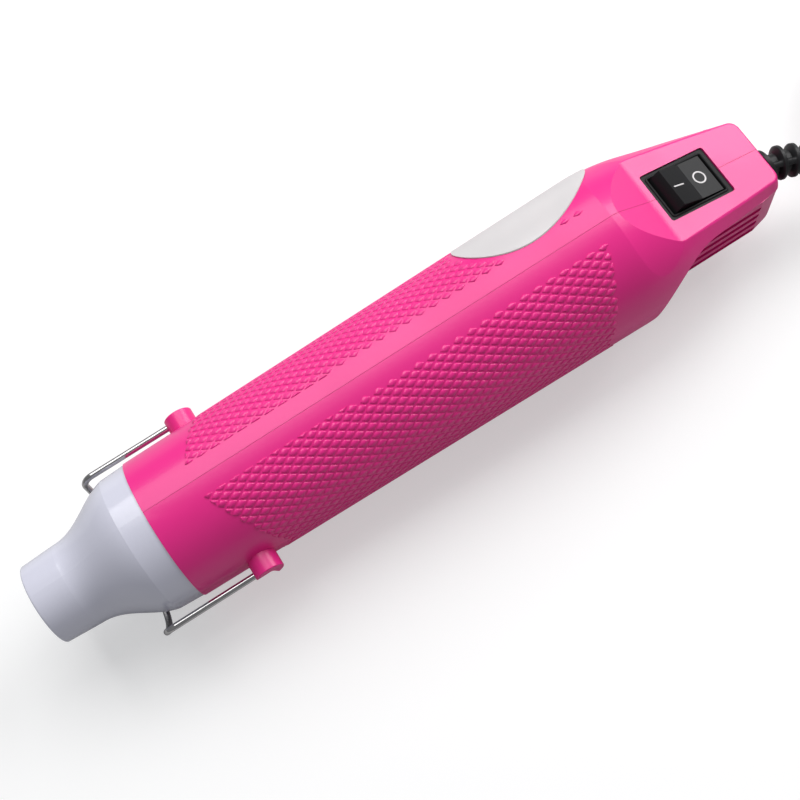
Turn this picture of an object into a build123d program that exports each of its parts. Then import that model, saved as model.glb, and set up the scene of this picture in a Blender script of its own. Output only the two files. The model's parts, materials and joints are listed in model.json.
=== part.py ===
from build123d import *
import math
import os

# Embossing heat tool: a slim hot-air tool with a flared nozzle, a clamshell casing,
# a fan motor, a wound mica heater, a rocker switch, a folding wire stand and a mains lead.
# All lengths are millimetres. +X points out of the nozzle, +Y to the left, +Z up.
# A station is a distance back from the nozzle's mouth, along the tool's axis.

# Whole tool
tool_length = 222.0
wall = 2.2
overrun = 1.0
part_gap = 0.10
running_gap = 0.05
seat_gap = 0.30

# Barrel and head of the casing
barrel_front = 36.2
barrel_taper = 2.1
barrel_rear_radius = 22.2
head_length = 41.3
head_taper_deg = 14.4
head_bend_radius = 60.0

# Dip of the head's top, a large round surface that leans down to the rear
dip_lead = 1.0
dip_sink = 2.4
dip_deg = 10.0
dip_crown = 0.8

# Switch facet
facet_deg = 15.2
facet_setback = 23.3
facet_sink = 10.0
facet_wall_deg = 31.0
facet_blend_radius = 8.0
facet_edge_round = 0.8
facet_upright_share = 0.75

# Undercut behind the barrel, and the vented tail below the visor
tail_length = 47.2
undercut_radius = 18.0
visor_rim = 3.3
tail_side_step = 9.2
tail_rise = 7.4
tail_corner_radius = 3.0
tail_taper = 1.8
tail_taper_length = 7.5
tail_bottom_round = 1.5
tail_heel_bevel = 4.0

# Vent slots
slot_count = 4
slot_width = 2.2
slot_pitch = 4.2
slot_first_height = 0.3
slot_setback = 7.6
slot_length = 32.6

# Nozzle
mouth_radius = 11.4
mouth_bore_radius = 10.0
mouth_bore_length = 9.0
mouth_edge_round = 0.5
neck_station = 9.8
neck_radius = 11.9
collar_station = 28.9
collar_step = 0.6
nozzle_step = 0.25
flare_shares = ((0.40, 0.26), (0.80, 0.82))
nozzle_wall = 1.6
spigot_length = 8.8
groove_start = 2.8
groove_width = 2.4
groove_depth = 1.3

# Heater
tube_radius = 9.2
tube_wall = 0.5
tube_front = 9.5
tube_rear = 96.0
tube_ring_width = 2.0
sleeve_wall = 0.4
sleeve_front = 28.0
sleeve_rear = 90.0
former_front = 30.0
former_rear = 88.0
former_half_width = 6.9
former_thickness = 0.8
former_hub_width = 2.0
former_hub_radius = 8.2
spoke_width = 2.2
element_wire_radius = 0.4
element_pitch = 4.6
element_turns = 11
cutoff_radius = 1.3
cutoff_length = 8.0

# Air duct, motor and fan
duct_clearance = 5.0
duct_wall = 1.0
duct_front = 112.0
duct_rear = 172.0
collar_overlap = 8.0
funnel_length = 15.0
motor_front = 124.0
motor_length = 28.0
motor_airway = 5.1
motor_can_wall = 0.8
motor_cap_length = 3.0
motor_cap_lip = 1.2
web_count = 4
web_thickness = 1.6
web_front = 128.0
web_rear = 148.0
magnet_thickness = 2.0
magnet_length = 16.0
magnet_sweep_deg = 130.0
rotor_clearance = 0.4
rotor_length = 14.0
rotor_pole_count = 3
rotor_gap_width = 2.2
rotor_core_radius = 3.4
commutator_radius = 2.4
commutator_length = 4.0
shaft_radius = 1.0
shaft_front_length = 1.6
fan_front = 156.0
fan_length = 10.0
fan_hub_radius = 4.2
fan_clearance = 0.6
blade_count = 7
blade_thickness = 0.9
blade_root_deg = 52.0
blade_tip_deg = 28.0
blade_chord = 9.4

# Rectifier board on the motor's terminals
board_front = 118.4
board_thickness = 1.2
board_step = 2.6
lug_width = 2.4
lug_thickness = 0.5
lug_inset = 2.5
diode_radius = 1.3
diode_length = 5.0
diode_inset = 2.6

# Casing screws, as station and height, and their posts
front_post_places = ((14.3, -14.4), (43.8, -14.6))
rear_post_places = ((44.6, -8.9), (4.0, -7.9))
post_radius = 3.5
screw_radius = 1.2
screw_head_radius = 2.4
screw_head_height = 1.8
screw_recess_radius = 2.6
screw_seat_share = 0.5
screw_reach = 7.0

# Rocker switch
bezel_length = 21.0
bezel_width = 15.0
bezel_thickness = 1.8
bezel_sink = 0.5
bezel_corner = 0.8
window_length = 17.5
window_width = 12.0
switch_body_length = 19.2
switch_body_width = 13.0
switch_depth = 13.0
switch_base = 1.4
rocker_pivot_depth = 3.0
rocker_radius = 8.6
rocker_width = 11.6
rocker_face_height = 4.0
rocker_face_deg = 6.0
rocker_skirt = 2.5
rocker_throw_deg = 20.0
rocker_pin_radius = 1.0
rocker_pin_reach = 0.45
blade_terminal_width = 4.8
blade_terminal_thickness = 0.8
blade_terminal_length = 7.0
blade_terminal_spacing = 7.4

# Wire stand and the stubs that carry it
stand_station = 53.8
wire_radius = 0.9
stand_leg_inset = 1.6
stand_leg_length = 30.5
stand_pin_start = 1.8
stand_pin_bend = 1.8
stand_corner_bend = 3.0
stand_swing_deg = 105.0
stub_radius = 4.0
stub_reach = 2.9
stub_sink = 4.7
stub_edge_round = 0.3

# Label plate
label_setback = 22.4
label_angle_deg = -58.0
label_length = 43.0
label_width = 29.5
label_tilt_deg = 12.0
label_thickness = 0.25

# Lead, strain relief and clamp
cord_diameter = 5.2
exit_offset = 4.0
exit_height = 1.0
relief_length = 30.0
relief_tilt_deg = 10.0
relief_bend_radius = 33.0
relief_sway_share = 0.85
relief_collar_radius = 5.0
relief_collar_length = 1.2
relief_neck_radius = 3.4
relief_core_end_radius = 3.2
relief_rib_radius = 4.7
relief_rib_end_radius = 4.0
relief_rib_width = 1.7
relief_rib_count = 7
relief_rib_start = 4.0
relief_rib_pitch = 3.9
relief_spigot_radius = 3.3
clamp_setback = 14.6
clamp_width = 5.0
clamp_bar_thickness = 1.8
clamp_screw_spread = 3.8
clamp_screw_radius = 0.8
clamp_screw_head_radius = 1.5
clamp_screw_head_height = 1.0
clamp_screw_length = 6.0
clamp_half_height = 4.9

# Inner wires
core_radius = 0.7
core_pass_step = 1.2
core_spread = 1.8

# Coil of the stored lead: columns of turns, wound up, down and up again from the outside in
coil_turn_gap = 0.9
coil_level_gap = 1.4
coil_outer_radius = 32.7
coil_columns = 3
coil_level_count = 5
coil_lift_count = 3
coil_heading_deg = 180.0
floor_gap = 0.2
lead_first_run = 14.0
lead_swing_back = 15.4
lead_swing_side = 7.0
lead_last_run = 18.0

# Plug
plug_length = 34.0
plug_width = 33.0
plug_thickness = 13.6
plug_nose_length = 10.0
plug_round = 2.0
plug_heel_width = 12.0
plug_heel_thickness = 9.0
pin_radius = 2.0
pin_length = 19.0
pin_spacing = 18.6
pin_tip_round = 0.8

# Values that follow from the sizes above
axis_height = barrel_rear_radius
barrel_front_radius = barrel_rear_radius - barrel_taper
barrel_end = tool_length - tail_length
head_start = tool_length - head_length
dip_station = head_start - dip_lead
dip_height = barrel_rear_radius - dip_sink
dip_radius = barrel_rear_radius + dip_crown
facet_station = tool_length - facet_setback
facet_height = barrel_rear_radius - facet_sink
tail_half_width = barrel_rear_radius - tail_side_step
tail_depth = barrel_rear_radius - tail_rise
tail_rear_half_width = tail_half_width - tail_taper
tail_taper_start = tool_length - tail_taper_length
slot_front = barrel_end + slot_setback
slot_rear = slot_front + slot_length
post_places = [(barrel_front + back, height) for back, height in front_post_places]
post_places += [(tool_length - ahead, height) for ahead, height in rear_post_places]
collar_radius = barrel_front_radius - collar_step
nozzle_rear_radius = barrel_front_radius - nozzle_step
duct_radius = barrel_rear_radius - duct_clearance
motor_radius = duct_radius - motor_airway
magnet_inner_radius = motor_radius - motor_can_wall - magnet_thickness
rotor_radius = magnet_inner_radius - rotor_clearance
fan_tip_radius = duct_radius - duct_wall - fan_clearance
board_radius = motor_radius - board_step
lug_offset = board_radius - lug_inset
diode_offset = lug_offset - diode_inset
stub_tip = barrel_rear_radius + stub_reach
stub_root = barrel_rear_radius - stub_sink
stand_leg_offset = stub_tip - stand_leg_inset
stand_pin_end = stub_root + stand_pin_start
label_station = head_start - label_setback
clamp_front = tool_length - clamp_setback
core_pass_radius = duct_radius + core_pass_step
barrel_slope = (barrel_rear_radius - barrel_front_radius) / (barrel_end - barrel_front)
head_start_radius = barrel_front_radius + barrel_slope * (head_start - barrel_front)
head_slope = math.tan(math.radians(head_taper_deg))
head_end_radius = head_start_radius - head_slope * (tool_length - head_start)
facet_slope = math.tan(math.radians(facet_deg))
cord_radius = cord_diameter / 2
duct_bore = duct_radius - duct_wall


def fore(station):
    """Place of a station along X, measured from the middle of the tool."""
    return tool_length / 2 - station


def barrel_radius(station):
    """Outer radius of the barrel's straight taper."""
    return barrel_front_radius + barrel_slope * (station - barrel_front)


def facet_z(station):
    """Height of the switch facet over the tool's axis."""
    return facet_height - (station - facet_station) * facet_slope


side_plane = Plane(origin=(0, 0, axis_height), x_dir=(1, 0, 0), z_dir=(0, -1, 0))
axis_line = Axis((0, 0, axis_height), (1, 0, 0))
facet_normal = (-math.sin(math.radians(facet_deg)), 0, math.cos(math.radians(facet_deg)))
facet_plane = Plane(
    origin=(fore(facet_station), 0, axis_height + facet_height),
    x_dir=(math.cos(math.radians(facet_deg)), 0, math.sin(math.radians(facet_deg))),
    z_dir=facet_normal,
)


def side_points(points):
    """Side-view points, given as station and height, in the side plane."""
    return [(fore(station), height) for station, height in points]


def turned(points):
    """A solid of revolution about the tool's axis from station and radius pairs."""
    return revolve(side_plane * make_face(Polyline(*side_points(points), close=True)), axis_line)


def bar(front, rear, radius, side=0, height=0):
    """A round bar along X between two stations, off the axis by side and height."""
    middle = fore((front + rear) / 2)
    return Pos(middle, side, axis_height + height) * Rot(0, 90, 0) * Cylinder(radius, rear - front)


def ring(front, rear, outer, inner):
    """A tube along the axis between two stations."""
    return bar(front, rear, outer) - bar(front - overrun, rear + overrun, inner)


def cross_bar(station, height, start, end, radius):
    """A round bar along Y at a station and height, from one side offset to another."""
    place = Pos(fore(station), (start + end) / 2, axis_height + height)
    return place * Rot(90, 0, 0) * Cylinder(radius, end - start)


def block(front, rear, right, left, low, high):
    """A box from stations, side offsets and heights over the axis."""
    place = Pos(fore((front + rear) / 2), (right + left) / 2, axis_height + (low + high) / 2)
    return place * Box(rear - front, left - right, high - low)


def side_prism(face, half_width):
    """A side-view face made a solid, as wide to the left as to the right."""
    return extrude(face, half_width, both=True)


# Casing


def revolved_body(inset):
    """Barrel and tapered head as one turned body, drawn in by inset."""
    front = barrel_front - overrun if inset else barrel_front
    rear = tool_length - inset
    outline = Polyline(
        *side_points(
            [
                (front, 0),
                (front, barrel_radius(front) - inset),
                (head_start, head_start_radius - inset),
                (rear, head_end_radius + head_slope * inset - inset),
                (rear, 0),
            ]
        ),
        close=True,
    )
    face = make_face(outline)
    bend = face.vertices().sort_by(Axis.Y)[-1]
    face = fillet(bend, head_bend_radius)
    end = face.vertices().group_by(Axis.X)[0].sort_by(Axis.Y)[-1]
    return revolve(side_plane * fillet(end, tail_corner_radius - inset / 2), axis_line)


def undercut_face(inset):
    """Side view of the space behind the barrel and below the visor."""
    start = barrel_end - inset
    low = -barrel_rear_radius - overrun
    rear = tool_length + overrun
    arc_radius = undercut_radius + inset
    arc_station = barrel_end + undercut_radius
    rim = visor_rim - inset
    lean = math.radians(facet_deg)
    arc_height = facet_z(arc_station) - visor_rim - undercut_radius / math.cos(lean)
    touch_station = arc_station + arc_radius * math.sin(lean)
    touch_height = arc_height + arc_radius * math.cos(lean)
    half = math.radians((90 + facet_deg) / 2)
    mid_station = arc_station - arc_radius * math.cos(half)
    mid_height = arc_height + arc_radius * math.sin(half)
    points = side_points(
        [
            (start, low),
            (start, arc_height),
            (mid_station, mid_height),
            (touch_station, touch_height),
            (rear, facet_z(rear) - rim),
            (rear, low),
        ]
    )
    edges = [
        Line(points[0], points[1]),
        ThreePointArc(points[1], points[2], points[3]),
        Line(points[3], points[4]),
        Line(points[4], points[5]),
        Line(points[5], points[0]),
    ]
    return side_plane * make_face(edges)


def tail_prism(inset):
    """Box of the tail with round rear corners, round lower edges and a bevelled heel."""
    half_width = tail_half_width - inset
    rear_half_width = tail_rear_half_width - inset
    front = barrel_end - undercut_radius
    rear = tool_length - inset
    depth = tail_depth - inset
    ends = [(front, half_width), (tail_taper_start, half_width), (rear, rear_half_width)]
    left = [(fore(station), side) for station, side in ends]
    right = [(along, -side) for along, side in left[::-1]]
    plan = make_face(Polyline(*left, *right, close=True))
    plan = fillet(plan.vertices().group_by(Axis.X)[0], tail_corner_radius - inset / 2)
    solid = Pos(0, 0, axis_height - depth) * extrude(plan, depth + facet_height)
    bottom = solid.faces().sort_by(Axis.Z)[0].edges().sort_by(Axis.X)[:-1]
    solid = fillet(bottom, tail_bottom_round - inset / 2)
    bevel = tail_heel_bevel
    heel = Polyline(
        *side_points(
            [
                (rear - bevel, -depth - overrun),
                (rear - bevel, -depth),
                (rear, bevel - depth),
                (rear + overrun, bevel - depth),
                (rear + overrun, -depth - overrun),
            ]
        ),
        close=True,
    )
    return solid - side_prism(side_plane * make_face(heel), tail_half_width + overrun)


def facet_cutter(inset):
    """Prism over the sloping switch facet and the wall at its front."""
    wall_slope = math.tan(math.radians(facet_wall_deg))
    drop = inset / math.cos(math.radians(facet_deg))
    fall = inset / math.cos(math.radians(facet_wall_deg))
    # The front wall leaves the dip's edge, and its foot is where it meets the facet.
    step = dip_height - fall - (facet_z(dip_station) - drop)
    foot = dip_station + step / (wall_slope - facet_slope)
    top = barrel_rear_radius + overrun
    head = dip_station - (top - dip_height + fall) / wall_slope
    rear = tool_length + overrun
    outline = Polyline(
        *side_points([(head, top), (foot, facet_z(foot) - drop), (rear, facet_z(rear) - drop), (rear, top)]),
        close=True,
    )
    face = make_face(outline)
    foot_place = Vector(fore(foot), facet_z(foot) - drop)
    corner = face.vertices().sort_by_distance(foot_place)[0]
    return side_prism(side_plane * fillet(corner, facet_blend_radius), barrel_rear_radius + overrun)


def dip_cutter(inset):
    """What lies over the leaning round surface on top of the head."""
    lean = math.radians(dip_deg)
    radius = dip_radius - inset
    reach = tool_length - barrel_end
    length = reach * 4
    start = dip_station - reach
    middle = (
        fore(dip_station) - dip_radius * math.sin(lean),
        0,
        axis_height + dip_height - dip_radius * math.cos(lean),
    )
    leaning = Pos(*middle) * Rot(0, 90 - dip_deg, 0) * Cylinder(radius, length)
    cover = block(
        start, tool_length + overrun, -dip_radius - overrun, dip_radius + overrun, 0, dip_radius * 2
    )
    return cover - leaning


def casing_body(inset):
    """The casing's outer form, or its hollow when drawn in by the wall."""
    space = side_prism(undercut_face(inset), barrel_rear_radius + overrun)
    top = facet_cutter(inset)
    head = revolved_body(inset) - dip_cutter(inset) - top
    if not inset:
        head = round_rim(head)
    tail = (tail_prism(inset) & space) - top
    return head - space + tail


def round_rim(head):
    """Round the outline of the facet, its front wall and the dip before them."""
    rear_height = axis_height + facet_z(tool_length) - overrun
    tops = []
    for face in head.faces():
        normal = face.normal_at()
        middle = face.center()
        if normal.Z > facet_upright_share and abs(normal.Y) < part_gap and middle.Z > rear_height \
                and middle.X < fore(dip_station):
            tops.append(face)
    outline = []
    for face in tops:
        for edge in face.edges():
            owners = [other for other in tops for candidate in other.edges() if candidate.is_same(edge)]
            if len(owners) == 1:
                outline.append(edge)
    return fillet(outline, facet_edge_round)


def stub(side):
    """Moulded stub that carries one end of the wire stand."""
    body = cross_bar(stand_station, 0, stub_root, stub_tip, stub_radius)
    tip = body.faces().sort_by(Axis.Y)[-1]
    body = fillet(tip.edges(), stub_edge_round)
    slot_half = wire_radius + part_gap
    slot_floor = stand_leg_offset - stand_pin_bend - seat_gap
    lean = math.radians(stand_swing_deg)
    reach = stub_radius * 2
    away = (math.cos(lean), -math.sin(lean))
    rear_side = (-math.sin(lean) * slot_half, -math.cos(lean) * slot_half)
    sector = Polyline(
        (0, slot_half),
        (reach, slot_half),
        (reach, -reach),
        (rear_side[0] + away[0] * reach, rear_side[1] + away[1] * reach - reach),
        (rear_side[0] + away[0] * reach, rear_side[1] + away[1] * reach),
        rear_side,
        close=True,
    )
    shape = make_face(sector) + Circle(slot_half)
    slot_plane = Plane(
        origin=(fore(stand_station), slot_floor, axis_height), x_dir=(1, 0, 0), z_dir=(0, -1, 0)
    )
    slot = extrude(slot_plane * shape, slot_floor - stub_tip - overrun)
    body = body - slot
    return body if side > 0 else mirror(body, Plane.XZ)


def posts():
    """Screw posts that stand across the casing's hollow."""
    reach = barrel_rear_radius
    return [cross_bar(station, height, -reach, reach, post_radius) for station, height in post_places]


def ribs():
    """Rings inside the barrel: nozzle lock, tube collar, and two round the air duct."""
    reach = barrel_rear_radius
    lock_front = barrel_front + groove_start + part_gap
    lock_rear = lock_front + groove_width - part_gap * 2
    lock_bore = barrel_radius(barrel_front) - wall - groove_depth
    collar_bore = tube_radius + running_gap + duct_wall + running_gap
    collar_front = tube_rear - collar_overlap + seat_gap
    duct_bore = duct_radius + running_gap
    rear_front = duct_rear - wall * 3
    return [
        ring(lock_front, lock_rear, reach, lock_bore),
        ring(collar_front, collar_front + wall, reach, collar_bore),
        ring(web_front, web_front + wall, reach, duct_bore),
        ring(rear_front, rear_front + wall, reach, duct_bore),
    ]


def outer_side(station, height):
    """Side offset of the casing's outer face at a post."""
    if station > barrel_end:
        return tail_half_width
    return math.sqrt(barrel_radius(station) ** 2 - height**2)


def vent_cutters():
    """Round-ended slots through both side walls of the tail."""
    slot = SlotOverall(slot_length, slot_width)
    reach = tail_half_width + overrun
    cutters = []
    for index in range(slot_count):
        height = slot_first_height - index * slot_pitch
        place = Plane(
            origin=(fore((slot_front + slot_rear) / 2), 0, axis_height + height),
            x_dir=(1, 0, 0),
            z_dir=(0, -1, 0),
        )
        through = extrude(place * slot, reach, both=True)
        keep = block(slot_front - overrun, slot_rear + overrun, -tail_half_width + wall * 2,
                     tail_half_width - wall * 2, height - slot_width, height + slot_width)
        cutters.append(through - keep)
    return cutters


def facet_box(length, width, low, high, along=0, round_radius=0):
    """A box that stands on the switch facet, with low and high along its normal."""
    shape = Rectangle(length, width)
    if round_radius:
        shape = fillet(shape.vertices(), round_radius)
    solid = extrude(Pos(along, 0, low) * shape, high - low)
    return facet_plane * solid


def clamp_seat():
    """Block on the left wall that the lead's clamp pulls against."""
    low = exit_height - clamp_half_height
    high = exit_height + clamp_half_height
    face = exit_offset - cord_radius + part_gap
    return block(clamp_front, clamp_front + clamp_width, face, tail_half_width, low, high)


def make_casing():
    """Both halves of the casing, split on the upright plane through the axis."""
    shell = casing_body(0) - casing_body(wall)
    reach = tool_length
    fittings = posts() + ribs()
    inner_limit = casing_body(wall / 2)
    bezel_room = facet_box(
        bezel_length + part_gap * 2, bezel_width + part_gap * 2, -bezel_sink - bezel_thickness, overrun,
        0, bezel_corner,
    )
    body_room = facet_box(
        switch_body_length + part_gap * 2, switch_body_width + part_gap * 2, -switch_depth - wall * 2, 0
    )
    exit_hole = bar(tool_length - wall * 2, tool_length + overrun, relief_spigot_radius + part_gap,
                    exit_offset, exit_height)
    cord_room = bar(clamp_front - overrun, clamp_front + clamp_width + overrun, cord_radius + running_gap,
                    exit_offset, exit_height)
    cutters = [bezel_room, body_room, exit_hole, cord_room, *vent_cutters()]
    for side in (-1, 1):
        cutters.append(core_channel(side))
        screw_height = exit_height + side * clamp_screw_spread
        start = exit_offset - cord_radius
        cutters.append(
            cross_bar(clamp_front + clamp_width / 2, screw_height, start - overrun,
                      start + clamp_screw_length + part_gap, clamp_screw_radius + running_gap)
        )
    for side in (-1, 1):
        ends = sorted((side * (stand_pin_end - seat_gap), side * (stub_tip + overrun)))
        cutters.append(cross_bar(stand_station, 0, *ends, wire_radius + running_gap))
    for station, height in post_places:
        seat = -outer_side(station, height) * screw_seat_share
        cutters.append(
            cross_bar(station, height, seat - overrun, screw_reach + seat_gap, screw_radius + running_gap)
        )
        cutters.append(cross_bar(station, height, -barrel_rear_radius - overrun, seat, screw_recess_radius))
    halves = []
    for side in (1, -1):
        room = Pos(0, side * reach / 2, 0) * Box(reach * 2, reach, reach * 2)
        half = shell & room
        limit = inner_limit & room
        half = half + [fitting & limit for fitting in fittings]
        if side > 0:
            half = half + (clamp_seat() & limit)
        half = half + stub(side)
        halves.append(half - cutters)
    return halves


def core_channel(side):
    """Notches in the ribs that let the inner wires pass under the air duct."""
    return bar(web_front - overrun, duct_rear, core_radius + part_gap * 2, side * core_spread,
               -core_pass_radius)


# Nozzle


def make_nozzle():
    """Flared nozzle with its mouth bore, tube ring and locking spigot."""
    flare_length = collar_station - neck_station
    flare_rise = collar_radius - neck_radius

    def flare(inset, back_first):
        points = [(neck_station, neck_radius - inset)]
        for along_share, rise_share in flare_shares:
            points.append(
                (neck_station + flare_length * along_share, neck_radius + flare_rise * rise_share - inset)
            )
        points.append((collar_station, collar_radius - inset))
        points = side_points(points)
        return Spline(*(points[::-1] if back_first else points))

    spigot_radius = barrel_radius(barrel_front) - wall - part_gap
    spigot_rear = barrel_front + spigot_length
    groove_front = barrel_front + groove_start
    groove_rear = groove_front + groove_width
    groove_radius = spigot_radius - groove_depth
    bore_rear = collar_radius - nozzle_wall
    spigot_bore = groove_radius - nozzle_wall + part_gap
    outer = side_points(
        [
            (collar_station, collar_radius),
            (barrel_front, nozzle_rear_radius),
            (barrel_front, spigot_radius),
            (groove_front, spigot_radius),
            (groove_front, groove_radius),
            (groove_rear, groove_radius),
            (groove_rear, spigot_radius),
            (spigot_rear, spigot_radius),
            (spigot_rear, spigot_bore),
            (barrel_front, spigot_bore),
            (collar_station, bore_rear),
        ]
    )
    mouth = side_points(
        [
            (neck_station, neck_radius - nozzle_wall),
            (mouth_bore_length, mouth_bore_radius),
            (0, mouth_bore_radius),
            (0, mouth_radius),
            (neck_station, neck_radius),
        ]
    )
    edges = [flare(0, False), Polyline(*outer), flare(nozzle_wall, True), Polyline(*mouth)]
    body = revolve(side_plane * make_face(edges), axis_line)
    carrier_front = mouth_bore_length + tube_ring_width
    carrier = ring(carrier_front, carrier_front + tube_ring_width, neck_radius,
                   tube_radius + running_gap)
    body = body + carrier
    lip = body.edges().filter_by(GeomType.CIRCLE).group_by(Axis.X)[-1]
    return fillet(lip, mouth_edge_round)


# Heater


def make_heater():
    """Steel tube, mica sleeve, crossed former, its end disc, the element and the cut-out."""
    tube_bore = tube_radius - tube_wall
    sleeve_radius = tube_bore - running_gap
    sleeve_bore = sleeve_radius - sleeve_wall
    tube = ring(tube_front, tube_rear, tube_radius, tube_bore)
    sleeve = ring(sleeve_front, sleeve_rear, sleeve_radius, sleeve_bore)
    upright = block(former_front, former_rear, -former_thickness / 2, former_thickness / 2,
                    -former_half_width, former_half_width)
    level = block(former_front, former_rear, -former_half_width, former_half_width,
                  -former_thickness / 2, former_thickness / 2)
    former = upright + level
    hub_rear = former_rear + former_hub_width
    disc = ring(former_rear, hub_rear, sleeve_bore - running_gap, former_hub_radius - spoke_width / 2)
    hub_reach = former_hub_radius - part_gap
    disc = disc + block(former_rear, hub_rear, -spoke_width / 2, spoke_width / 2, -hub_reach + spoke_width / 4,
                        hub_reach - spoke_width / 4)
    disc = disc + block(former_rear, hub_rear, -hub_reach + spoke_width / 4, hub_reach - spoke_width / 4,
                        -spoke_width / 2, spoke_width / 2)
    winding = former_half_width + element_wire_radius + part_gap
    coil_length = element_pitch * element_turns
    start_x = fore(former_front + element_pitch / 2 + coil_length)
    spiral = Pos(start_x, 0, axis_height) * Rot(0, 90, 0) * Helix(element_pitch, coil_length, winding)
    element = sweep(Plane(origin=spiral @ 0, z_dir=spiral % 0) * Circle(element_wire_radius), path=spiral,
                    is_frenet=True)
    offset = former_thickness / 2 + seat_gap + cutoff_radius
    cutoff = bar(former_rear - cutoff_length * 2, former_rear - cutoff_length, cutoff_radius, offset, offset)
    return tube, sleeve, former, disc, element, cutoff


# Air duct, motor and fan


def make_duct():
    """Funnel and duct in one piece, with the webs that hold the motor."""
    collar_bore = tube_radius + running_gap
    collar_front = tube_rear - collar_overlap
    funnel_start = duct_front - funnel_length
    shape = turned(
        [
            (collar_front, collar_bore),
            (collar_front, collar_bore + duct_wall),
            (funnel_start, collar_bore + duct_wall),
            (duct_front, duct_radius),
            (duct_rear, duct_radius),
            (duct_rear, duct_bore),
            (duct_front, duct_bore),
            (funnel_start, collar_bore),
        ]
    )
    seat = motor_radius + running_gap
    for index in range(web_count):
        web = block(web_front, web_rear, -web_thickness / 2, web_thickness / 2, seat - wall,
                    duct_radius - duct_wall / 2)
        turn = 360 / web_count * (index + 1 / 2)
        shape = shape + web.rotate(axis_line, turn)
    shape = shape - bar(web_front - overrun, web_rear + overrun, seat)
    for side in (-1, 1):
        shape = shape - lead_port(side)
    return shape


def lead_port(side):
    """Hole in the funnel for one heater wire."""
    station = duct_front - funnel_length / 2
    place = Pos(fore(station), side * core_spread, axis_height - duct_radius)
    return place * Cylinder(core_radius + seat_gap, duct_radius)


def make_motor():
    """Can, end cap, magnets, rotor with commutator, and shaft."""
    rear = motor_front + motor_length
    can_bore = motor_radius - motor_can_wall
    bearing_bore = shaft_radius + running_gap
    can = turned(
        [
            (motor_front, can_bore),
            (motor_front, motor_radius),
            (rear, motor_radius),
            (rear, bearing_bore),
            (rear - motor_can_wall * 2, bearing_bore),
            (rear - motor_can_wall * 2, can_bore),
        ]
    )
    cap_front = motor_front - motor_cap_length
    cap = turned(
        [
            (cap_front, bearing_bore),
            (cap_front, can_bore - motor_cap_lip),
            (cap_front + motor_cap_lip, motor_radius),
            (motor_front, motor_radius),
            (motor_front, can_bore - running_gap),
            (motor_front + motor_cap_lip, can_bore - running_gap),
            (motor_front + motor_cap_lip, bearing_bore),
        ]
    )
    middle = motor_front + motor_length / 2
    half_magnet = magnet_length / 2
    magnet_ring = ring(middle - half_magnet, middle + half_magnet, can_bore, magnet_inner_radius)
    cut_angle = 90 - magnet_sweep_deg / 2
    opening = math.tan(math.radians(cut_angle)) * can_bore
    wedge_points = [(0, 0), (motor_radius, opening), (motor_radius, -opening)]
    wedge_plane = Plane(origin=(fore(middle), 0, axis_height), x_dir=(0, 0, 1), z_dir=(1, 0, 0))
    wedge = extrude(wedge_plane * make_face(Polyline(*wedge_points, close=True)), magnet_length, both=True)
    magnets = magnet_ring - wedge - wedge.rotate(axis_line, 180)
    half_rotor = rotor_length / 2
    rotor = ring(middle - half_rotor, middle + half_rotor, rotor_radius, shaft_radius)
    for index in range(rotor_pole_count):
        gap = block(middle - rotor_length, middle + rotor_length, -rotor_gap_width / 2, rotor_gap_width / 2,
                    rotor_core_radius, rotor_radius + overrun)
        rotor = rotor - gap.rotate(axis_line, 360 / rotor_pole_count * index)
    commutator_front = middle - half_rotor - commutator_length
    rotor = rotor + ring(commutator_front, middle - half_rotor, commutator_radius, shaft_radius)
    shaft = bar(cap_front - shaft_front_length, fan_front + fan_length, shaft_radius)
    return can, cap, magnets, rotor, shaft


def make_fan():
    """Axial fan wheel: hub and twisted blades."""
    middle = fan_front + fan_length / 2
    hub = ring(fan_front, fan_front + fan_length, fan_hub_radius, shaft_radius)
    nose = fillet(hub.edges().filter_by(GeomType.CIRCLE).group_by(Axis.X)[0].sort_by(SortBy.RADIUS)[-1:],
                  fan_hub_radius / 4)
    wheel = nose
    root = fan_hub_radius - blade_thickness
    tip = fan_tip_radius + blade_thickness

    def section(radius, pitch_deg):
        place = Plane(origin=(fore(middle), 0, axis_height + radius), x_dir=(1, 0, 0), z_dir=(0, 0, 1))
        return place * Rot(0, 0, 90 - pitch_deg) * Rectangle(blade_chord, blade_thickness)

    blade = loft([section(root, blade_root_deg), section(tip, blade_tip_deg)])
    room = ring(fan_front, fan_front + fan_length, fan_tip_radius, shaft_radius + running_gap)
    blade = blade & room
    for index in range(blade_count):
        wheel = wheel + blade.rotate(axis_line, 360 / blade_count * index)
    return wheel


def make_board():
    """Round board on the motor's lugs, with four rectifier diodes."""
    board_rear = board_front + board_thickness
    board = ring(board_front, board_rear, board_radius, shaft_radius + seat_gap)
    lugs = []
    for side in (-1, 1):
        middle = side * lug_offset
        lugs.append(block(board_front - lug_thickness, motor_front - motor_cap_length, middle - lug_width / 2,
                          middle + lug_width / 2, -lug_thickness / 2, lug_thickness / 2))
    for lug in lugs:
        board = board - lug
    diodes = []
    for side in (-1, 1):
        for height in (-1, 1):
            diodes.append(
                bar(board_front - diode_length, board_front, diode_radius, side * diode_offset,
                    height * diode_offset)
            )
    return board, Compound(children=lugs), Compound(children=diodes)


# Switch


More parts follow.
